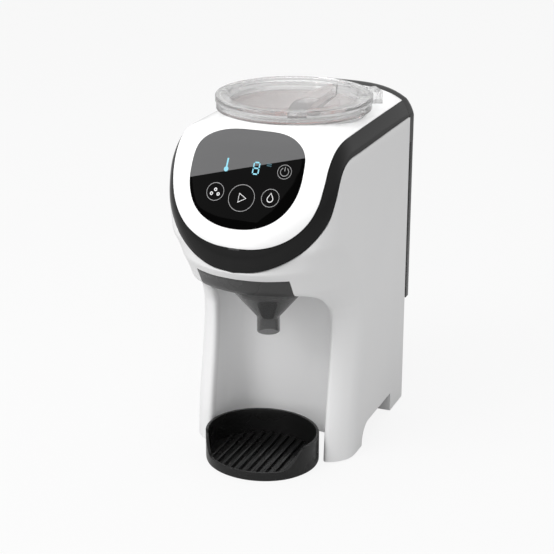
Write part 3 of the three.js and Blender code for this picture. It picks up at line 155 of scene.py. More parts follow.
def closed_up(piece, filled=False):
    opened(piece)
    bpy.ops.mesh.remove_doubles(threshold=weld * mm)
    bpy.ops.mesh.delete_loose()
    bpy.ops.mesh.select_all(action="SELECT")
    if filled:
        bpy.ops.mesh.fill_holes(sides=0)
        bpy.ops.mesh.select_all(action="SELECT")
    bpy.ops.mesh.normals_make_consistent(inside=False)
    bpy.ops.object.mode_set(mode="OBJECT")


def laid(name, rows, filled=False):
    tall, wide = len(rows), len(rows[0])
    bpy.ops.object.select_all(action="DESELECT")
    bpy.ops.mesh.primitive_grid_add(x_subdivisions=wide - 1, y_subdivisions=tall - 1, size=1)
    piece = bpy.context.object
    piece.name = name
    for vertex in piece.data.vertices:
        row = round((vertex.co.y + 0.5) * (tall - 1))
        column = round((vertex.co.x + 0.5) * (wide - 1))
        vertex.co = Vector(rows[row][column]) * mm
    closed_up(piece, filled)
    return piece


def face_away(piece, inside):
    # A sheet is open, so its faces are turned by hand to look away from a point behind them
    middle = Vector(inside) * mm
    away = sum((f.center - middle).dot(f.normal) * f.area for f in piece.data.polygons)
    if away < 0:
        opened(piece)
        bpy.ops.mesh.flip_normals()
        bpy.ops.object.mode_set(mode="OBJECT")


def applied(piece, kind, **settings):
    work_on(piece)
    modifier = piece.modifiers.new(kind.lower(), kind)
    for key, value in settings.items():
        setattr(modifier, key, value)
    bpy.ops.object.modifier_apply(modifier=modifier.name)


def thickened(piece, wall):
    applied(piece, "SOLIDIFY", thickness=wall * mm, offset=-1, use_even_offset=True)


def combined(piece, other, operation):
    applied(piece, "BOOLEAN", object=other, operation=operation, solver="MANIFOLD")
    bpy.data.objects.remove(other)


def cut(piece, cutter):
    combined(piece, cutter, "DIFFERENCE")


def eased(piece, width, segments=3, angle=40):
    applied(piece, "BEVEL", width=width * mm, segments=segments, limit_method="ANGLE",
            angle_limit=math.radians(angle))


def smooth(piece, angle=35):
    work_on(piece)
    bpy.ops.object.shade_smooth_by_angle(angle=math.radians(angle))


def block(name, x0, x1, y0, y1, z0, z1):
    bpy.ops.object.select_all(action="DESELECT")
    middle = Vector((x0 + x1, y0 + y1, z0 + z1)) * mm / 2
    bpy.ops.mesh.primitive_cube_add(size=1, location=middle)
    piece = bpy.context.object
    piece.name = name
    piece.scale = Vector((x1 - x0, y1 - y0, z1 - z0)) * mm
    bpy.ops.object.transform_apply(location=True, rotation=True, scale=True)
    return piece


def cylinder(name, radius, z0, z1, x, y, sides=96):
    bpy.ops.object.select_all(action="DESELECT")
    bpy.ops.mesh.primitive_cylinder_add(vertices=sides, radius=radius * mm, depth=(z1 - z0) * mm,
                                        location=Vector((x, y, (z0 + z1) / 2)) * mm)
    piece = bpy.context.object
    piece.name = name
    bpy.ops.object.transform_apply(location=True, rotation=True, scale=True)
    return piece


def pushed(name, outline, push):
    bpy.ops.object.select_all(action="DESELECT")
    bpy.ops.mesh.primitive_circle_add(vertices=len(outline), radius=1, fill_type="NGON")
    piece = bpy.context.object
    piece.name = name
    for vertex, place in zip(piece.data.vertices, outline):
        vertex.co = Vector(place) * mm
    opened(piece)
    bpy.ops.mesh.extrude_region_move(TRANSFORM_OT_translate={"value": Vector(push) * mm})
    bpy.ops.object.mode_set(mode="OBJECT")
    closed_up(piece)
    return piece


def corner_arc(x, z, radius, start, end, steps=12):
    turns = [math.radians(start + (end - start) * k / steps) for k in range(steps + 1)]
    return [(x + radius * math.cos(t), z + radius * math.sin(t)) for t in turns]


def moulded_surface():
    group = bpy.data.node_groups.new("Moulded surface", "ShaderNodeTree")
    face = group.interface
    for name, kind, value in (
            ("Colour", "NodeSocketColor", (0.8, 0.8, 0.8, 1)),
            ("Mottle Colour", "NodeSocketColor", (0.8, 0.8, 0.8, 1)),
            ("Mottle Scale", "NodeSocketFloat", 14), ("Low Roughness", "NodeSocketFloat", 0.3),
            ("High Roughness", "NodeSocketFloat", 0.4), ("Grain Scale", "NodeSocketFloat", 1500),
            ("Grain Depth", "NodeSocketFloat", 0.00001)):
        socket = face.new_socket(name=name, in_out="INPUT", socket_type=kind)
        socket.default_value = value
    for name, kind in (("Colour", "Color"), ("Roughness", "Float"), ("Normal", "Vector")):
        face.new_socket(name=name, in_out="OUTPUT", socket_type="NodeSocket" + kind)
    nodes, links = group.nodes, group.links
    given = nodes.new("NodeGroupInput")
    result = nodes.new("NodeGroupOutput")
    place = nodes.new("ShaderNodeTexCoord")
    mottle = nodes.new("ShaderNodeTexNoise")
    mottle.inputs["Detail"].default_value = 4
    blend = nodes.new("ShaderNodeMix")
    blend.data_type = "RGBA"
    grain = nodes.new("ShaderNodeTexNoise")
    grain.inputs["Detail"].default_value = 2
    spread = nodes.new("ShaderNodeMapRange")
    spread.inputs["From Min"].default_value = 0.3
    spread.inputs["From Max"].default_value = 0.7
    bump = nodes.new("ShaderNodeBump")
    for source, output, target, socket in (
            (place, "Object", mottle, "Vector"), (given, "Mottle Scale", mottle, "Scale"),
            (mottle, "Fac", blend, "Factor"), (given, "Colour", blend, "A"),
            (given, "Mottle Colour", blend, "B"), (place, "Object", grain, "Vector"),
            (given, "Grain Scale", grain, "Scale"), (mottle, "Fac", spread, "Value"),
            (given, "Low Roughness", spread, "To Min"), (given, "High Roughness", spread, "To Max"),
            (grain, "Fac", bump, "Height"), (given, "Grain Depth", bump, "Distance"),
            (blend, "Result", result, "Colour"), (spread, "Result", result, "Roughness"),
            (bump, "Normal", result, "Normal")):
        links.new(source.outputs[output], target.inputs[socket])
    return group


surface_group = moulded_surface()


def finish_of(name, colour, mottle, roughness, grain=0.00001, mottle_scale=14, **sockets):
    material = bpy.data.materials.new(name)
    material.use_nodes = True
    nodes, links = material.node_tree.nodes, material.node_tree.links
    shader = nodes["Principled BSDF"]
    surface = nodes.new("ShaderNodeGroup")
    surface.node_tree = surface_group
    for socket, value in (
            ("Colour", (*colour, 1)), ("Mottle Colour", (*mottle, 1)), ("Mottle Scale", mottle_scale),
            ("Low Roughness", roughness[0]), ("High Roughness", roughness[1]), ("Grain Depth", grain)):
        surface.inputs[socket].default_value = value
    for output, socket in (("Colour", "Base Color"), ("Roughness", "Roughness"), ("Normal", "Normal")):
        links.new(surface.outputs[output], shader.inputs[socket])
    for key, value in sockets.items():
        shader.inputs[key.replace("_", " ")].default_value = value
    return material


def dressed(piece, material):
    piece.data.materials.clear()
    piece.data.materials.append(material)


shell_plastic = finish_of("Body white plastic", (0.84, 0.84, 0.84), (0.82, 0.82, 0.825), (0.3, 0.38))

outer_line = line_of(outer_edge_shares)
last_row = len(outer_line) - 1
# The line has more steps where it turns at the front than along the straight sides
ring_stations = []
for first, last, steps in ((0, 3, 6), (3, 7, 14), (7, 9, 6), (9, 12, 3)):
    ring_stations += [(first + k / steps) / last_row for k in range((last - first) * steps)]
ring_stations.append(1)
shell_tops = [on_line(outer_line, station) for station in ring_stations]
rear_top = shell_tops[-1].z
for x, y in corner_arc(half_width - rear_corner, body_rear - rear_corner, rear_corner, 0, 90, 8):
    shell_tops.append(Vector((x, y, rear_top)))
for share in (0.7, 0.35, 0):
    shell_tops.append(Vector((share * (half_width - rear_corner), body_rear, rear_top)))

# The rows lie 4 mm apart up the columns and closer on the neck, where the form turns
foot_level = 1.5
column_levels = [5 + 4 * k for k in range(31)]
neck_levels = [127 + 1.5 * k for k in range(1, 46)]
low_levels = [foot_level] + column_levels + neck_levels
high_steps = 14
crest_round = 0.8
shell_rows = []
for level in range(len(low_levels) + high_steps):
    row = []
    for top in shell_tops:
        crest = top.z - crest_gap
        if level < len(low_levels):
            z = low_levels[level]
        else:
            share = (level - len(low_levels) + 1) / high_steps
            z = low_levels[-1] + (crest - crest_round - low_levels[-1]) * share
        row.append(body_point(top, z))
    shell_rows.append(row)
# The crest under the band is rounded inwards in two rows
for drop, inset in ((0.35, 0.2), (0, crest_round)):
    row = []
    for k, top in enumerate(shell_tops):
        z = top.z - crest_gap - drop
        place = body_point(top, z)
        before = body_point(shell_tops[max(0, k - 1)], z)
        after = body_point(shell_tops[min(len(shell_tops) - 1, k + 1)], z)
        outward = Vector((after.y - before.y, before.x - after.x, 0)).normalized()
        if k in (0, len(shell_tops) - 1):
            outward = Vector((0, -1 if k == 0 else 1, 0))
        row.append(place - outward * inset)
    shell_rows.append(row)
body_shell = laid("body_shell", shell_rows)
face_away(body_shell, (0, 20, 150))
applied(body_shell, "MIRROR", use_axis=(True, False, False), merge_threshold=0.05 * mm)
thickened(body_shell, shell_wall)

mouth_half = 56.6
mouth_top = 176.5
mouth_round = 13
below = -5
clear_front = -200
clear_side = 100
clear_above = height + 6
mouth = ([(-mouth_half, below), (mouth_half, below)]
         + corner_arc(mouth_half - mouth_round, mouth_top - mouth_round, mouth_round, 0, 90)
         + corner_arc(mouth_round - mouth_half, mouth_top - mouth_round, mouth_round, 90, 180))
mouth_back = -2
cut(body_shell, pushed("mouth_cutter", [(x, clear_front, z) for x, z in mouth],
                       (0, mouth_back - clear_front, 0)))

# The rim of the mouth is rounded over by drawing its points back along a quarter circle
mouth_lip = 6
for vertex in body_shell.data.vertices:
    x, y, z = abs(vertex.co.x) / mm, vertex.co.y / mm, vertex.co.z / mm
    if y > mouth_back:
        continue
    side, over = x - (mouth_half - mouth_round), z - (mouth_top - mouth_round)
    if over < 0:
        far = x - mouth_half
    elif side > 0:
        far = math.hypot(side, over) - mouth_round
    else:
        far = z - mouth_top
    if far < mouth_lip:
        far = max(far, 0)
        vertex.co.y += (mouth_lip - math.sqrt(mouth_lip ** 2 - (mouth_lip - far) ** 2)) * mm

drawer_half = 44
drawer_low = 179.3
drawer_high = 197.4
fit_gap = 0.3
slot_half = 35.5
slot_from = 160
drawer_mouth = drawer_half + fit_gap
cut(body_shell, block("drawer_cutter", -drawer_mouth, drawer_mouth, clear_front, 0,
                      drawer_low - fit_gap, drawer_high + fit_gap))
cut(body_shell, block("slot_cutter", -drawer_mouth, drawer_mouth, clear_front, 0,
                      slot_from, drawer_low + 1))

foot_front = -11
foot_rear = 74
foot_high = 21
foot_round = 18
foot_arch = ([(foot_front, below), (foot_rear, below), (foot_rear, foot_high)]
             + corner_arc(foot_front + foot_round, foot_high - foot_round, foot_round, 90, 180))
cut(body_shell, pushed("foot_cutter", [(-clear_side, y, z) for y, z in foot_arch], (2 * clear_side, 0, 0)))

rear_inside = 112
rear_outside = 122
dock_half = 67
dock_low = 105.5
cover_half = 62
cover_low = 24
cover_high = 100
cut(body_shell, block("tank_cutter", -dock_half, dock_half, rear_inside, rear_outside,
                      dock_low, clear_above))
cut(body_shell, block("cover_cutter", -cover_half, cover_half, rear_inside, rear_outside,
                      cover_low, cover_high))

# The arch ends at a wall across each rear foot
foot_inner = 58
foot_outer = 78.5
for side in (-1, 1):
    across = sorted((side * foot_inner, side * foot_outer))
    foot_wall = block("foot_wall", *across, foot_rear, foot_rear + shell_wall, foot_level, foot_high + 2)
    combined(body_shell, foot_wall, "UNION")
smooth(body_shell, angle=30)
dressed(body_shell, shell_plastic)
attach(body_shell, "housing")
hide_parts("main_shell")

# Bay liner
# The inside of the bottle bay is one drawn-in moulding in the same pale plastic, with soft corners.
# It clips in behind the mouth of the shell, and its ceiling is open where the funnel comes through.

liner_wall = 2
bay_half = 56.9
bay_top = 176.8
bay_back = -2
liner_foot = 4
liner_front = -98
liner_corner = 25
liner_round = 13
bay_lining = block("bay_lining", -bay_half, bay_half, liner_front, bay_back, liner_foot, bay_top)
work_on(bay_lining)
bpy.ops.object.mode_set(mode="EDIT")
bpy.ops.mesh.select_all(action="DESELECT")
bpy.ops.mesh.select_mode(type="FACE")
bpy.ops.object.mode_set(mode="OBJECT")
for face in bay_lining.data.polygons:
    face.select = face.center.y < (liner_front + 1) * mm or face.center.z < (liner_foot + 1) * mm
bpy.ops.object.mode_set(mode="EDIT")
bpy.ops.mesh.delete(type="FACE")
bpy.ops.mesh.select_mode(type="EDGE")


def pick_edges(piece, wanted):
    bpy.ops.mesh.select_all(action="DESELECT")
    bpy.ops.object.mode_set(mode="OBJECT")
    for edge in piece.data.edges:
        ends = [piece.data.vertices[i].co / mm for i in edge.vertices]
        edge.select = all(wanted(end) for end in ends)
    bpy.ops.object.mode_set(mode="EDIT")


for side in (1, -1):
    pick_edges(bay_lining, lambda p: abs(p.y - bay_back) < 0.1 and side * p.x > bay_half - 1)
    bpy.ops.mesh.bevel(offset=liner_corner * mm, segments=12, affect="EDGES")
pick_edges(bay_lining, lambda p: abs(p.z - bay_top) < 0.1
           and (p.y > liner_front + 1 or abs(p.x) > bay_half - 1))
bpy.ops.mesh.bevel(offset=liner_round * mm, segments=10, affect="EDGES")
liner_rows = range(10, 177, 6)
liner_columns = range(-40, 41, 10)
for z in liner_rows:
    bpy.ops.mesh.select_all(action="SELECT")
    bpy.ops.mesh.bisect(plane_co=(0, 0, z * mm), plane_no=(0, 0, 1))
for x in liner_columns:
    bpy.ops.mesh.select_all(action="SELECT")
    bpy.ops.mesh.bisect(plane_co=(x * mm, 0, 0), plane_no=(1, 0, 0))
bpy.ops.object.mode_set(mode="OBJECT")
liner_behind = 4.5
slot_rear = -15.1
ceiling_low = 166
ceiling_high = 185
for vertex in bay_lining.data.vertices:
    if vertex.co.y < (liner_front + 1) * mm:
        vertex.co.y = (front_at(vertex.co.x / mm, vertex.co.z / mm) + liner_behind) * mm
face_away(bay_lining, (0, -50, 80))
thickened(bay_lining, -liner_wall)
cut(bay_lining, block("ceiling_cutter", -slot_half, slot_half, clear_front, slot_rear,
                      ceiling_low, ceiling_high))
smooth(bay_lining)
dressed(bay_lining, finish_of("Liner plastic", (0.92, 0.92, 0.92), (0.9, 0.9, 0.905), (0.34, 0.42)))
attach(bay_lining, "housing")
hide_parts("bay_liner")

# Control face and deck
# One glossy white moulding rolls from the lower edge of the face back over the top and round the hopper.
# It snaps down on to the shell inside the black band, and has a round hole for the hopper well.

inner_edge_shares = [
    (0, -0.9845, 0.681), (0.238, -0.9767, 0.685), (0.449, -0.9496, 0.6975), (0.634, -0.9054, 0.7212),
    (0.772, -0.8512, 0.7565), (0.851, -0.8008, 0.798), (0.886, -0.748, 0.8468), (0.896, -0.682, 0.889),
    (0.905, -0.589, 0.9186), (0.9125, -0.465, 0.934), (0.9125, -0.2326, 0.937), (0.9075, 0.659, 0.936),
    (0.9, 0.8527, 0.934),
]
crown_shares = [
    (0, -0.9845, 0.681), (0, -0.9845, 0.688), (0, -0.978, 0.7065), (0, -0.958, 0.735),
    (0, -0.9186, 0.7695), (0, -0.859, 0.807), (0, -0.783, 0.852), (0, -0.705, 0.8997),
    (0, -0.624, 0.9416), (0, -0.4806, 0.96), (0, -0.2326, 0.9617), (0, 0.659, 0.9617), (0, 0.8527, 0.9689),
]
inner_line = line_of(inner_edge_shares)
crown_line = line_of(crown_shares)
deck_wall = 2.5
deck_first = 0.014
deck_edge = 0.998
crown_power = 4
nudge = 0.01
straight_from = 0.75
under_face = (0, 0, 250)
hopper_y = 11
well_hole = 65.3
well_low = 240


def crowned(across, station):
    edge = on_line(inner_line, station)
    middle = on_line(crown_line, station)
    point = middle + (edge - middle) * abs(across) ** crown_power
    point.x = edge.x * across
    return point


def crowned_out(across, station):
    a = max(-1, min(1, across))
    s = max(nudge, min(1 - nudge, station))
    along_x = crowned(a + nudge, s) - crowned(a - nudge, s)
    along_y = crowned(a, s + nudge) - crowned(a, s - nudge)
    return along_x.cross(along_y).normalized()


straight_stations = [straight_from + (1 - straight_from) * k / 12 for k in range(13)]
deck_stations = [deck_first + (straight_from - deck_first) * k / 84 for k in range(84)] + straight_stations
across_steps = [math.sin(math.pi / 2 * k / 28) for k in range(-28, 29)]
deck_rows = [[crowned(across * deck_edge, station) for across in across_steps] for station in deck_stations]
control_face = laid("control_face", deck_rows)
face_away(control_face, under_face)
thickened(control_face, deck_wall)
cut(control_face, cylinder("well_cutter", well_hole, well_low, clear_above, 0, hopper_y, 128))
eased(control_face, width=0.3, angle=50)
smooth(control_face, angle=30)
gloss_white = finish_of("Gloss white", (0.94, 0.94, 0.94), (0.92, 0.92, 0.925), (0.1, 0.16), grain=0.000004)
dressed(control_face, gloss_white)
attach(control_face, "housing")
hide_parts("top_deck")

# Trim band
# A gloss black moulding frames the face: it comes forward along one side, dips under it and goes back.
# It is snapped over the edge of the shell all the way round, and its outside is slightly crowned.

band_wall = 2.5
band_bulge = 1
band_stations = [straight_from * k / 108 for k in range(108)] + straight_stations
band_shares = [k / 12 for k in range(13)]


def band_loop(station):
    outer = on_line(outer_line, station)
    inner = on_line(inner_line, station)
    chord = (inner - outer).normalized()
    ahead = on_line(outer_line, min(1, station + nudge))
    behind = on_line(outer_line, max(0, station - nudge))
    along = (ahead - behind).normalized()
    out = along.cross(chord).normalized()
    if out.x - out.y < 0:
        out = -out
    low = outer + chord * crest_gap
    high = inner - chord * crest_gap
    plan = Vector((along.y, -along.x, 0)).normalized()
    if station == 0:
        plan = Vector((0, -1, 0))
    low_in = low - plan * band_wall
    high_in = high - crowned_out(1, station) * band_wall
    loop = [low.lerp(high, s) + out * band_bulge * (1 - (2 * s - 1) ** 2) for s in band_shares]
    loop += [high.lerp(high_in, 0.5), high_in, high_in.lerp(low_in, 0.5), low_in, low_in.lerp(low, 0.5)]
    if station == 0:
        for point in loop:
            point.x = 0
    return loop + [loop[0].copy()]


right_loops = [band_loop(station) for station in band_stations]
left_loops = [[Vector((-p.x, p.y, p.z)) for p in loop] for loop in reversed(right_loops[1:])]
black_band = laid("black_band", left_loops + right_loops, True)
smooth(black_band, angle=50)
band_black = finish_of("Band gloss black", (0.01, 0.01, 0.01), (0.013, 0.013, 0.013), (0.12, 0.2),
                       grain=0.000004, Specular_IOR_Level=0.17)
dressed(black_band, band_black)
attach(black_band, "housing")
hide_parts("trim_band")

# Control panel
# The panel is a curved black lens bonded into the face, with printed keys; above a slanting line it carries
# a painted reflection, a paler grey.
# The keys are touch areas under the lens, so only their rings and signs show; the readout glows through it.

lens_half = 52.3
lens_shift = -0.8
lens_low = 244
lens_waist = 288
lens_high = 318.7
lens_low_power = 2.15
lens_high_power = 3.7
lens_middle = 282
lens_proud = 0.3


def station_at(z):
    low, high = 0, 10 / last_row
    for _ in range(30):
        middle = (low + high) / 2
        if on_line(crown_line, middle).z < z:
            low = middle
        else:
            high = middle
    return (low + high) / 2


def on_face(x, z, proud):
    station = station_at(z)
    across = x / on_line(inner_line, station).x
    return crowned(across, station) + crowned_out(across, station) * proud


lens_outline = []
for k in range(49):
    turn = -math.cos(math.pi * k / 48)
    reach, power = lens_high - lens_waist, lens_high_power
    if turn < 0:
        reach, power = lens_waist - lens_low, lens_low_power
    lens_outline.append((lens_half * (1 - abs(turn) ** power) ** (1 / power), lens_waist + turn * reach))
lens_outline += [(-x, z) for x, z in reversed(lens_outline[1:-1])]
lens_outline.append(lens_outline[0])
# Share of the outline and height above the face, from the middle out to the edge and down into the face
lens_rings = [(k / 14, lens_proud) for k in range(14)]
lens_rings += [(0.985, lens_proud), (0.994, 0.22), (1, 0), (1, -0.6)]
lens_rows = []
for share, proud in lens_rings:
    lens_rows.append([on_face(x * share + lens_shift, lens_middle + (z - lens_middle) * share, proud)
                      for x, z in lens_outline])
control_panel = laid("control_panel", lens_rows)
face_away(control_panel, under_face)
smooth(control_panel, angle=30)
panel_glass = finish_of("Panel glass", (0.001, 0.001, 0.001), (0.0015, 0.0015, 0.0015), (0.04, 0.06),
                        grain=0.000001, Specular_IOR_Level=0.012)
nodes, links = panel_glass.node_tree.nodes, panel_glass.node_tree.links
place = nodes.new("ShaderNodeTexCoord")
lean = nodes.new("ShaderNodeVectorMath")
lean.operation = "DOT_PRODUCT"
links.new(place.outputs["Object"], lean.inputs[0])
# Painted reflection: a paler grey is mixed into the black lens colour above a plane, standing in for a
# reflection on the glass
reflection_ramp = nodes.new("ShaderNodeMapRange")
reflection_mix = nodes.new("ShaderNodeMix")
reflection_mix.data_type = "RGBA"
reflection_mix.inputs["B"].default_value = (0.125, 0.125, 0.127, 1)
links.new(lean.outputs["Value"], reflection_ramp.inputs["Value"])
links.new(reflection_ramp.outputs["Result"], reflection_mix.inputs["Factor"])
base_socket = nodes["Principled BSDF"].inputs["Base Color"]
links.new(base_socket.links[0].from_socket, reflection_mix.inputs["A"])
links.new(reflection_mix.outputs["Result"], base_socket)
# The painted reflection begins at a plane that holds a slanting line across the lens and the back-pointing
# direction set below
reflection_left = on_face(-51, 280, 0)
reflection_right = on_face(51, 304.5, 0)
reflection_back = Vector((-0.359, 0.867, -0.344))
reflection_blur = 0.1
reflection_normal = (reflection_right - reflection_left).cross(reflection_back).normalized()
if reflection_normal.z < 0:
    reflection_normal = -reflection_normal
lean.inputs[1].default_value = reflection_normal
reflection_level = reflection_normal.dot(reflection_left) * mm
reflection_ramp.inputs["From Min"].default_value = reflection_level - reflection_blur * mm
reflection_ramp.inputs["From Max"].default_value = reflection_level + reflection_blur * mm
dressed(control_panel, panel_glass)
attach(control_panel, "housing")
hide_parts("control_lens")

print_proud = 0.34
print_wide = 0.42
power_round = 3.7
power_high = 4.4
power_wide = 0.5
stroke_wide = 0.6
play_wide = 0.9
dot_round = 1.1
dot_wide = 0.8
drop_round = 2.6
drop_high = 4.4
drop_wide = 0.7


def strip(path, wide, closed=False):
    # A printed line: a narrow strip of the lens surface that follows a path drawn in width and height
    rows = []
    count = len(path)
    for k, (x, z) in enumerate(path):
        before = path[(k - 1) % count] if closed or k > 0 else path[k]
        after = path[(k + 1) % count] if closed or k < count - 1 else path[k]
        run = Vector((after[0] - before[0], after[1] - before[1])).normalized() * wide / 2
        rows.append([on_face(x + side * run.y, z - side * run.x, print_proud) for side in (-1, 1)])
    if closed:
        rows.append(rows[0])
    return laid("print_strip", rows)


def drawn(place, path, wide, closed=False):
    # Heights are taken along the slope of the face, so that round signs are round
    x, z = place
    slope = 1 / (on_face(x, z + 1, 0) - on_face(x, z, 0)).length
    return strip([(x + u, z + v * slope) for u, v in path], wide, closed)


def ring(place, radius, wide):
    turns = [2 * math.pi * k / 64 for k in range(64)]
    return drawn(place, [(radius * math.cos(t), radius * math.sin(t)) for t in turns], wide, True)


def joined(name, pieces):
    bpy.ops.object.select_all(action="DESELECT")
    for piece in pieces:
        piece.select_set(True)
    bpy.context.view_layer.objects.active = pieces[0]
    bpy.ops.object.join()
    pieces[0].name = name
    return pieces[0]


start_key = (0.8, 268.5)
left_key = (-24.6, 271)
right_key = (26.8, 271)
power_key = (34.6, 291.5)
rings = []
for place, radius in ((start_key, 11.9), (left_key, 8), (right_key, 7.9), (power_key, 6.2)):
    rings.append(ring(place, radius, print_wide))
rings.append(drawn(power_key, corner_arc(0, 0, power_round, 60, -240, 24), power_wide))
rings.append(drawn(power_key, [(0, 0.6), (0, power_high)], stroke_wide))
key_rings = joined("panel_key_rings", rings)
face_away(key_rings, under_face)
dressed(key_rings, finish_of("Ring ink", (0.27, 0.27, 0.27), (0.22, 0.22, 0.22), (0.4, 0.5)))
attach(key_rings, "housing")

marks = [drawn(start_key, [(-2.6, -4), (4.2, 0), (-2.6, 4)], play_wide, True)]
for x, z in ((-3.2, -1.6), (0, 1.6), (3.2, -1.6)):
    marks.append(ring((left_key[0] + x, left_key[1] + z), dot_round, dot_wide))
drop = [(0, drop_high)] + corner_arc(0, -1, drop_round, 30, -210, 20)
marks.append(drawn(right_key, drop, drop_wide, True))
panel_print = joined("panel_print", marks)
face_away(panel_print, under_face)
dressed(panel_print, finish_of("Panel ink", (0.7, 0.7, 0.7), (0.62, 0.62, 0.62), (0.4, 0.5)))
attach(panel_print, "housing")

digit_place = (8.3, 291.8)
digit_half = 2.6
digit_tall = 5.2
digit_wide = 1.1
heat_place = (-19.2, 291.7)
heat_wide = 1.5
bulb_round = 1.1
bulb_wide = 2
digit = []
bar_half = digit_half - 0.7
for level in (digit_tall, 0, -digit_tall):
    digit.append(drawn(digit_place, [(-bar_half, level), (bar_half, level)], digit_wide))
for side in (-digit_half, digit_half):
    for low in (-digit_tall, 0):
        digit.append(drawn(digit_place, [(side, low + digit_tall - 0.6), (side, low + 0.6)], digit_wide))
digit.append(drawn(heat_place, [(0, -1.5), (0, 6.5)], heat_wide))
digit.append(drawn(heat_place, corner_arc(0, -3.4, bulb_round, 0, 345, 24), bulb_wide, True))
panel_readout = joined("panel_readout", digit)
face_away(panel_readout, under_face)
glow = finish_of("Readout glow", (0.12, 0.3, 0.36), (0.1, 0.26, 0.32), (0.4, 0.5), Emission_Strength=0.55)
glow.node_tree.nodes["Principled BSDF"].inputs["Emission Color"].default_value = (0.2, 0.62, 0.78, 1)
dressed(panel_readout, glow)
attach(panel_readout, "housing")

dim_place = (19.5, 295.5)
dim_half = 2.2
dim_wide = 0.45
dim_marks = [drawn(dim_place, [(-dim_half, level), (dim_half, level)], dim_wide) for level in (-1, 0.6)]
panel_unit = joined("panel_unit_marks", dim_marks)
face_away(panel_unit, under_face)
dressed(panel_unit, finish_of("Readout dim", (0.03, 0.15, 0.2), (0.02, 0.12, 0.16), (0.4, 0.5)))
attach(panel_unit, "housing")

# Funnel drawer
# A dark smoked drawer slides out under the face; its curved front is flush with the shell.
# It is one moulding with a round hole in its floor, which the funnel hangs in by its flange.

drawer_rear = -10
drawer_wall = 3
drawer_floor = 4.8
drawer_hole = 33.6
hole_low = 170
hole_high = 200
funnel_y = -50.6


def drawer_loop(z, inset, lift):
    half = drawer_half - inset
    front = [(half * k / 12, front_at(half * k / 12, z) + inset, z + lift) for k in range(-12, 13)]
    loop = front + [(half, drawer_rear - inset, z + lift), (-half, drawer_rear - inset, z + lift)]
    return [Vector(p) for p in loop + [loop[0]]]


drawer_steps = 6
drawer_tall = drawer_high - drawer_low
drawer_levels = [drawer_low + drawer_tall * k / drawer_steps for k in range(drawer_steps + 1)]
funnel_drawer = laid("funnel_drawer", [drawer_loop(z, 0, 0) for z in drawer_levels], True)
drawer_room = laid("drawer_room", [drawer_loop(z, drawer_wall, drawer_floor) for z in drawer_levels], True)
cut(funnel_drawer, drawer_room)
cut(funnel_drawer, cylinder("hole_cutter", drawer_hole, hole_low, hole_high, 0, funnel_y))
eased(funnel_drawer, width=0.4, segments=2, angle=50)
smooth(funnel_drawer)
drawer_grey = finish_of("Drawer smoke", (0.06, 0.06, 0.06), (0.066, 0.066, 0.066), (0.25, 0.34),
                        Specular_IOR_Level=0.2)
dressed(funnel_drawer, drawer_grey)
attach(funnel_drawer, "drawer")
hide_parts("funnel_holder")

# Mixing funnel
# Powder and water meet in a turned smoky clear funnel that hangs in the drawer by its flange.
# It lifts out of the drawer for washing, and its narrow spout points into the bottle.


def turned(name, profile, x, y, steps=96):
    bpy.ops.object.select_all(action="DESELECT")
    bpy.ops.mesh.primitive_circle_add(vertices=len(profile), radius=1, fill_type="NOTHING")
    piece = bpy.context.object
    piece.name = name
    for vertex, (radius, z) in zip(piece.data.vertices, profile):
        vertex.co = Vector((x + radius, y, z)) * mm
    opened(piece)
    bpy.ops.mesh.spin(steps=steps, angle=2 * math.pi, center=Vector((x, y, 0)) * mm, axis=(0, 0, 1))
    bpy.ops.object.mode_set(mode="OBJECT")
    closed_up(piece)
    return piece


spout_low = 123
spout_outer = 10.7
spout_inner = 8.9
bowl_low = 166
bowl_outer = 33
bowl_inner = 31.2
flange_radius = 36.5
flange_low = 184.3
flange_high = 186.3
funnel_outside = [(spout_outer, spout_low), (spout_outer, 137), (11.6, 139.2), (32, 163.6),
                  (bowl_outer, bowl_low), (bowl_outer, flange_low), (flange_radius, flange_low)]
funnel_inside = [(flange_radius, flange_high), (bowl_inner, flange_high), (bowl_inner, bowl_low),
                 (30.4, 164.4), (10, 139.8), (spout_inner, 137.2), (spout_inner, spout_low)]
mixing_funnel = turned("mixing_funnel", funnel_outside + funnel_inside, 0, funnel_y)
eased(mixing_funnel, width=0.5, angle=30)
smooth(mixing_funnel)


def lets_light_in(material, share):
    # Light for the pieces behind passes straight through a clear wall, less what the wall holds back
    nodes, links = material.node_tree.nodes, material.node_tree.links
    path = nodes.new("ShaderNodeLightPath")
    either = nodes.new("ShaderNodeMath")
    either.operation = "MAXIMUM"
    links.new(path.outputs["Is Shadow Ray"], either.inputs[0])
    links.new(path.outputs["Is Diffuse Ray"], either.inputs[1])
    passed = nodes.new("ShaderNodeMath")
    passed.operation = "MULTIPLY"
    passed.inputs[1].default_value = share
    links.new(either.outputs["Value"], passed.inputs[0])
    through = nodes.new("ShaderNodeBsdfTransparent")
    mix = nodes.new("ShaderNodeMixShader")
    links.new(passed.outputs["Value"], mix.inputs["Fac"])
    links.new(nodes["Principled BSDF"].outputs["BSDF"], mix.inputs[1])
    links.new(through.outputs["BSDF"], mix.inputs[2])
    links.new(mix.outputs["Shader"], nodes["Material Output"].inputs["Surface"])


smoke = finish_of("Funnel smoke", (0.25, 0.25, 0.25), (0.28, 0.28, 0.28), (0.08, 0.12),
                  grain=0.000003, Transmission_Weight=0.9, IOR=1.45)
lets_light_in(smoke, 0.6)
dressed(mixing_funnel, smoke)
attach(mixing_funnel, "funnel")
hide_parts("funnel")

# Drip tray
# The tray is a black oval dish with ribs, low at the front and tall round the sides and the back.
# It is moulded in one piece, slides in between the columns, and a tongue at its back meets the bay.

tray_half = 54
tray_front = -115.6
tray_shoulder = -66
tray_rear = -17
tray_wall = 2.5
tray_lip = 8.5
tray_high = 27.5
ramp_front = -103.5
ramp_rear = -83


def tray_reach(turn):
    return tray_rear - tray_shoulder if math.sin(turn) > 0 else tray_shoulder - tray_front


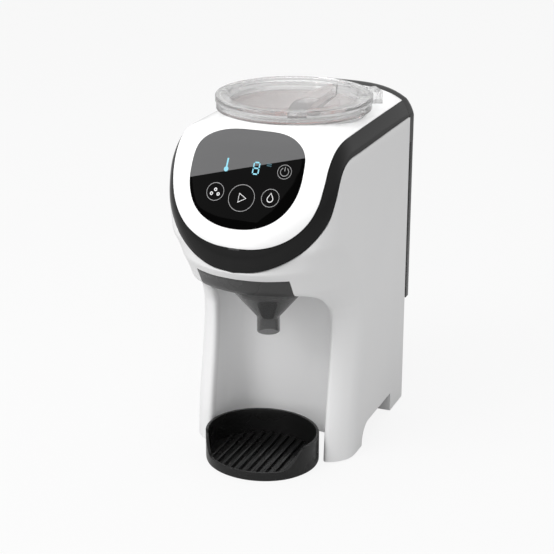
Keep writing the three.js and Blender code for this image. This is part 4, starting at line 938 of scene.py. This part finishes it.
def tray_outline(inset):
    outline = []
    for k in range(144):
        turn = 2 * math.pi * k / 144
        reach = tray_reach(turn) - inset
        outline.append(((tray_half - inset) * math.cos(turn), tray_shoulder + reach * math.sin(turn)))
    return outline


def tray_top(y):
    share = min(1, max(0, (y - ramp_front) / (ramp_rear - ramp_front)))
    return tray_lip + (tray_high - tray_lip) * (1 - math.cos(math.pi * share)) / 2


def closed_over(piece, wanted):
    opened(piece)
    pick_edges(piece, wanted)
    bpy.ops.mesh.edge_face_add()
    bpy.ops.mesh.select_all(action="SELECT")
    bpy.ops.mesh.normals_make_consistent(inside=False)
    bpy.ops.object.mode_set(mode="OBJECT")


# Share of the height of the wall, and how far the foot of the tray is drawn in there
tray_rows = []
for share, inset in ((0, 1.2), (0.02, 0.5), (0.05, 0.1), (0.1, 0), (0.4, 0), (0.7, 0), (1, 0)):
    row = [Vector((x, y, tray_top(y) * share)) for x, y in tray_outline(inset)]
    tray_rows.append(row + [row[0].copy()])
rinse_tray = laid("rinse_tray", tray_rows)
closed_over(rinse_tray, lambda p: p.z < 0.01)
face_away(rinse_tray, (0, -60, 10))
thickened(rinse_tray, tray_wall)
eased(rinse_tray, width=0.8, angle=60)
rib_pitch = 8.3
rib_half = 1.6
rib_end = 5
rib_low = 2
rib_high = 5.2
tray_parts = [rinse_tray]
for k in range(-5, 6):
    x = k * rib_pitch
    share = math.sqrt(1 - (x / tray_half) ** 2)
    rib_front = tray_shoulder - (tray_shoulder - tray_front) * share + rib_end
    rib_rear = tray_shoulder + (tray_rear - tray_shoulder) * share - rib_end
    rib = block("tray_rib", x - rib_half, x + rib_half, rib_front, rib_rear, rib_low, rib_high)
    eased(rib, width=0.8)
    tray_parts.append(rib)
tongue_half = 14
tongue_rear = -2.3
tongue_low = 1.2
tongue_high = 8
tongue = block("tray_tongue", -tongue_half, tongue_half, tray_rear - 2, tongue_rear,
               tongue_low, tongue_high)
eased(tongue, width=0.8)
tray_parts.append(tongue)
rinse_tray = joined("rinse_tray", tray_parts)
smooth(rinse_tray)
tray_black = finish_of("Tray black", (0.007, 0.007, 0.007), (0.01, 0.01, 0.01), (0.22, 0.32),
                       Specular_IOR_Level=0.35)
dressed(rinse_tray, tray_black)
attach(rinse_tray, "tray")
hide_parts("drip_tray")

# Powder hopper
# A clear canister holds the formula powder; its wide ring stands on the deck and carries the lid.
# It is one clear moulding that drops into the well and lifts straight out for filling and washing.

hopper_low = 256
hopper_floor = 2.5
hopper_wall = 2
hopper_radius = 62
spindle_hole = 4
ring_low = 321.7
ring_high = 327.6
ring_radius = 71.5
outlet_radius = 8.5
outlet_out = 50
hopper_inner = hopper_radius - hopper_wall
ring_inner = ring_radius - hopper_wall
hopper_outside = [(spindle_hole, hopper_low), (hopper_radius - 0.5, hopper_low),
                  (hopper_radius, hopper_low + 0.8), (hopper_radius, ring_low),
                  (ring_radius, ring_low), (ring_radius, ring_high)]
hopper_inside = [(ring_inner, ring_high), (ring_inner, ring_low + hopper_wall),
                 (hopper_inner, ring_low + hopper_wall), (hopper_inner, hopper_low + hopper_floor + 1),
                 (hopper_inner - 0.8, hopper_low + hopper_floor), (spindle_hole, hopper_low + hopper_floor)]
powder_hopper = turned("powder_hopper", hopper_outside + hopper_inside, 0, hopper_y, 128)
cut(powder_hopper, cylinder("outlet_cutter", outlet_radius, hopper_low - 6, hopper_low + 6,
                            0, hopper_y - outlet_out, 48))
eased(powder_hopper, width=0.4, angle=50)
smooth(powder_hopper)
clear_plastic = finish_of("Clear plastic", (0.84, 0.84, 0.84), (0.87, 0.87, 0.87), (0.06, 0.1),
                          grain=0.000003, Transmission_Weight=0.9, IOR=1.45)
lets_light_in(clear_plastic, 0.9)
dressed(powder_hopper, clear_plastic)
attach(powder_hopper, "canister")
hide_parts("hopper")

# Hopper lid
# The lid is clear and flat-rimmed, dished on both sides of a raised grip bar, with a finger tab at the rim.
# It is one moulding; it turns on the seal of the hopper ring and then lifts off.

lid_low = 320.5
lid_seat = 328
lid_radius = 72.3
dish_level = 322.5
lid_under = [(0, lid_low), (56.5, lid_low), (58.4, 321.6), (60.3, lid_seat), (72, lid_seat),
             (lid_radius, 328.4)]
lid_over = [(lid_radius, 333.2), (71.6, height), (62, height), (60, 332.6), (57, 323.8),
            (55, dish_level), (0, dish_level)]
lid = turned("clear_lid", lid_under + lid_over, 0, hopper_y, 128)

grip_reach = 60.5
grip_left = 8
grip_bow = 10
grip_right = 26.8
grip_slant = 5.2
grip_low = 321.5
grip_tall = 11.1
grip = []
for k in range(-16, 17):
    share = k / 16
    grip.append((grip_left + grip_bow * share * share, hopper_y + grip_reach * share))
for share in (1, 0, -1):
    grip.append((grip_right - grip_slant * share, hopper_y + grip_reach * share))
grip_bar = pushed("grip_bar", [(x, y, grip_low) for x, y in grip], (0, 0, grip_tall))

# The grip bar ends at the slanting wall of the dish
room_low = 315
room_foot = 55.9
room_mouth = 61.7
grip_room = turned("grip_room", [(0, room_low), (room_foot, room_low), (room_mouth, height),
                                 (room_mouth, clear_above), (0, clear_above)], 0, hopper_y, 96)
combined(grip_bar, grip_room, "INTERSECT")

tab_outer = 81.5
tab_inner = 72.1
tab_start = 26
tab_end = 44
tab_low = 323
tab_tall = 10.7
tab = corner_arc(0, hopper_y, tab_outer, tab_start, tab_end, 8)
tab += corner_arc(0, hopper_y, tab_inner, tab_end, tab_start, 8)
lid_tab = pushed("lid_tab", [(x, y, tab_low) for x, y in tab], (0, 0, tab_tall))
combined(lid, grip_bar, "UNION")
combined(lid, lid_tab, "UNION")
eased(lid, width=0.6, angle=50)
smooth(lid)
dressed(lid, clear_plastic)
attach(lid, "lid")
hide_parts("hopper_lid")

# Water tank
# The tank is a smoky clear, hollow moulding: a thin slab across the back of the machine, with a pocket.
# It stands on its valve in the rear bay, and its dark edge shows as a strip down each side.

tank_low = 108
tank_level = 269.6
tank_wall = 2
tank_half = 79.4
tank_front = 88
tank_step = 117.3
tank_rear = 130.1
tank_corner = 5.5
pocket_half = 66
valve_hole = 6.3
valve_x = 30
valve_y = 102


def tank_plan(inset):
    pocket, side = pocket_half - inset, tank_half - inset
    front, step, rear = tank_front + inset, tank_step + inset, tank_rear - inset
    corner = tank_corner - inset
    right = [(pocket, front), (pocket, step), (side, step), (side, rear - corner)]
    right += corner_arc(side - corner, rear - corner, corner, 0, 90, 10)[1:]
    return right + [(-x, y) for x, y in reversed(right)]


def plan_block(name, plan, z0, z1):
    return pushed(name, [(x, y, z0) for x, y in plan], (0, 0, z1 - z0))


smoked_tank = plan_block("smoked_tank", tank_plan(0), tank_low, tank_level)
cut(smoked_tank, plan_block("tank_room", tank_plan(tank_wall), tank_low + tank_wall, tank_level + 5))
cut(smoked_tank, cylinder("tank_hole", valve_hole, tank_low - 8, tank_low + 12, valve_x, valve_y, 48))
eased(smoked_tank, width=0.8, angle=50)
smooth(smoked_tank)
tank_smoke = finish_of("Tank smoke", (0.07, 0.07, 0.073), (0.08, 0.08, 0.083), (0.05, 0.09),
                       grain=0.000003, Transmission_Weight=0.75, IOR=1.45)
dressed(smoked_tank, tank_smoke)
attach(smoked_tank, "tank")
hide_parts("water_tank")

# Tank lid
# A gloss black cap closes the tank and carries the line of the deck and band round the back.
# It is one moulding, open below, that lifts off for filling.

cap_low = 270
cap_wall = 2.5
cap_crown = 2.5
cap_front = deck_rear + fit_gap
cap_round = 12
cap_side_round = 7


def fall_at(y, radius):
    past = max(0, y - (tank_rear - radius)) / radius
    return radius * (1 - math.sqrt(max(0, 1 - past * past)))


def cap_section(y):
    sink = fall_at(y, cap_round)
    shrink = 1 - fall_at(y, cap_side_round) / half_width
    right = band_loop(1)[:13]
    for k in range(13):
        across = 1 - k / 12
        point = crowned(across * deck_edge, 1)
        point.z += cap_crown * (1 - across ** 2) * min(1, (y - deck_rear) / (2 * cap_round))
        right.append(point)
    right = [Vector((right[0].x, 0, z)) for z in (cap_low, cap_low + 10, cap_low + 20)] + right
    left = [Vector((-p.x, p.y, p.z)) for p in reversed(right[:-1])]
    section = []
    for p in right + left:
        fall = sink * 0.5 if p.z > cap_low + 0.1 else 0
        section.append(Vector((p.x * shrink, y, max(cap_low, p.z - fall))))
    return section


cap_turn = tank_rear - cap_round
cap_places = [cap_front + (cap_turn - cap_front) * k / 3 for k in range(3)]
cap_places += [cap_turn + cap_round * math.sin(math.pi / 2 * k / 14) for k in range(15)]
tank_cap = laid("tank_cap", [cap_section(y) for y in cap_places])
closed_over(tank_cap, lambda p: p.y > tank_rear - 0.01)
face_away(tank_cap, (0, 100, 290))
thickened(tank_cap, cap_wall)
smooth(tank_cap)
dressed(tank_cap, band_black)
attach(tank_cap, "tank_cap")
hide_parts("tank_lid")

# Inner works and small fittings
# These pieces keep the shape of the drawn part: moulded, turned or stamped, and mostly out of sight.
# Each takes the finish of its real stuff: nylon, coral plastic, steel, brass, rubber or circuit board.

coral = finish_of("Coral plastic", (0.72, 0.3, 0.24), (0.66, 0.26, 0.2), (0.3, 0.4))
natural = finish_of("Natural nylon", (0.62, 0.6, 0.53), (0.56, 0.54, 0.47), (0.4, 0.5), mottle_scale=40)
pale_grey = finish_of("Pale grey plastic", (0.5, 0.5, 0.5), (0.46, 0.46, 0.465), (0.38, 0.46))
black_satin = finish_of("Black satin plastic", (0.014, 0.014, 0.014), (0.02, 0.02, 0.02), (0.35, 0.5))
rubber = finish_of("Soft rubber", (0.025, 0.025, 0.025), (0.035, 0.035, 0.035), (0.7, 0.85))
silicone = finish_of("Pale silicone", (0.55, 0.55, 0.54), (0.5, 0.5, 0.49), (0.5, 0.6))
steel = finish_of("Bright steel", (0.5, 0.51, 0.52), (0.44, 0.45, 0.46), (0.2, 0.35),
                  mottle_scale=60, Metallic=1)
brass = finish_of("Warm brass", (0.6, 0.42, 0.16), (0.5, 0.34, 0.12), (0.25, 0.4),
                  mottle_scale=60, Metallic=1)
board = finish_of("Circuit board", (0.02, 0.1, 0.035), (0.015, 0.075, 0.03), (0.3, 0.5), mottle_scale=120)
cover_white = finish_of("Cover plastic", (0.6, 0.6, 0.6), (0.57, 0.57, 0.575), (0.34, 0.42))
well_white = finish_of("Well plastic", (0.86, 0.86, 0.86), (0.83, 0.83, 0.835), (0.3, 0.4))
fittings = [
    (coral, ["dosing_wheel", "stir_wheel"]),
    (natural, ["chassis", "drive_gear", "motor_pinion", "flow_meter", "suction_hose", "meter_hose",
               "heater_hose", "nozzle_hose", "water_nozzle"]),
    (pale_grey, ["base_plate", "tank_bay", "powder_chute"]),
    (cover_white, ["rear_cover"]),
    (well_white, ["hopper_well"]),
    (black_satin, ["power_inlet", "funnel_switch", "display_module", "tank_valve", "dock_valve",
                   "water_pump", "wire_harness"]),
    (rubber, ["foot_pad_front_left", "foot_pad_front_right", "foot_pad_rear_left", "foot_pad_rear_right",
              "valve_seal"]),
    (silicone, ["lid_seal"]),
    (clear_plastic, ["scraper_plate", "valve_cage"]),
    (steel, ["base_screw_1", "base_screw_2", "base_screw_3", "base_screw_4", "drive_motor", "flow_heater",
             "wheel_spindle", "valve_spring"]),
    (brass, ["thermostat"]),
    (board, ["control_board", "power_board"]),
]
for material, names in fittings:
    for name in names:
        dressed(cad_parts[name], material)

# Room
# A plain pale floor under soft lamps, and the camera where the photograph was taken from.

bpy.ops.object.select_all(action="DESELECT")
bpy.ops.mesh.primitive_plane_add(size=12)
floor = bpy.context.object
floor.name = "floor"
floor_seen = 0.88
floor_paint = finish_of("Floor", (0.58, 0.58, 0.58), (0.56, 0.56, 0.56), (0.6, 0.7))
nodes, links = floor_paint.node_tree.nodes, floor_paint.node_tree.links
path = nodes.new("ShaderNodeLightPath")
white = nodes.new("ShaderNodeEmission")
share = nodes.new("ShaderNodeMath")
share.operation = "MULTIPLY"
share.inputs[1].default_value = floor_seen
lit = nodes.new("ShaderNodeMixShader")
links.new(path.outputs["Is Camera Ray"], share.inputs[0])
links.new(share.outputs["Value"], lit.inputs["Fac"])
links.new(nodes["Principled BSDF"].outputs["BSDF"], lit.inputs[1])
links.new(white.outputs["Emission"], lit.inputs[2])
links.new(lit.outputs["Shader"], nodes["Material Output"].inputs["Surface"])
dressed(floor, floor_paint)

world = bpy.data.worlds.new("Room")
bpy.context.scene.world = world
world.use_nodes = True
nodes, links = world.node_tree.nodes, world.node_tree.links
air = nodes["Background"]
air.inputs["Color"].default_value = (1, 1, 1, 1)
path = nodes.new("ShaderNodeLightPath")
levels = nodes.new("ShaderNodeMapRange")
levels.inputs["To Min"].default_value = 0.66
levels.inputs["To Max"].default_value = 1
links.new(path.outputs["Is Camera Ray"], levels.inputs["Value"])
links.new(levels.outputs["Result"], air.inputs["Strength"])


def lamp(name, place, target, size, energy):
    light = bpy.data.lights.new(name, "AREA")
    light.shape = "RECTANGLE"
    light.size, light.size_y = size
    light.energy = energy
    holder = bpy.data.objects.new(name, light)
    bpy.context.scene.collection.objects.link(holder)
    holder.location = place
    holder.rotation_euler = (Vector(target) - Vector(place)).to_track_quat("-Z", "Y").to_euler()
    return holder


lamp("top_softbox", place=(-0.1, -0.5, 2.0), target=(0, 0, 0.2), size=(1.6, 1.6), energy=17)
lamp("front_softbox", place=(-1.0, -1.5, 1.8), target=(0, 0, 0.18), size=(1.1, 1.3), energy=25)

camera_down = 20.128
camera_turn = 22.506
camera_data = bpy.data.cameras.new("camera")
camera_data.lens = 96.56
camera_data.sensor_width = 36
camera = bpy.data.objects.new("camera", camera_data)
bpy.context.scene.collection.objects.link(camera)
camera.location = (0.4957, -1.2264, 0.6434)
camera.rotation_euler = (math.radians(90 - camera_down), 0, math.radians(camera_turn))
bpy.context.scene.camera = camera
bpy.context.scene.view_settings.view_transform = "Standard"
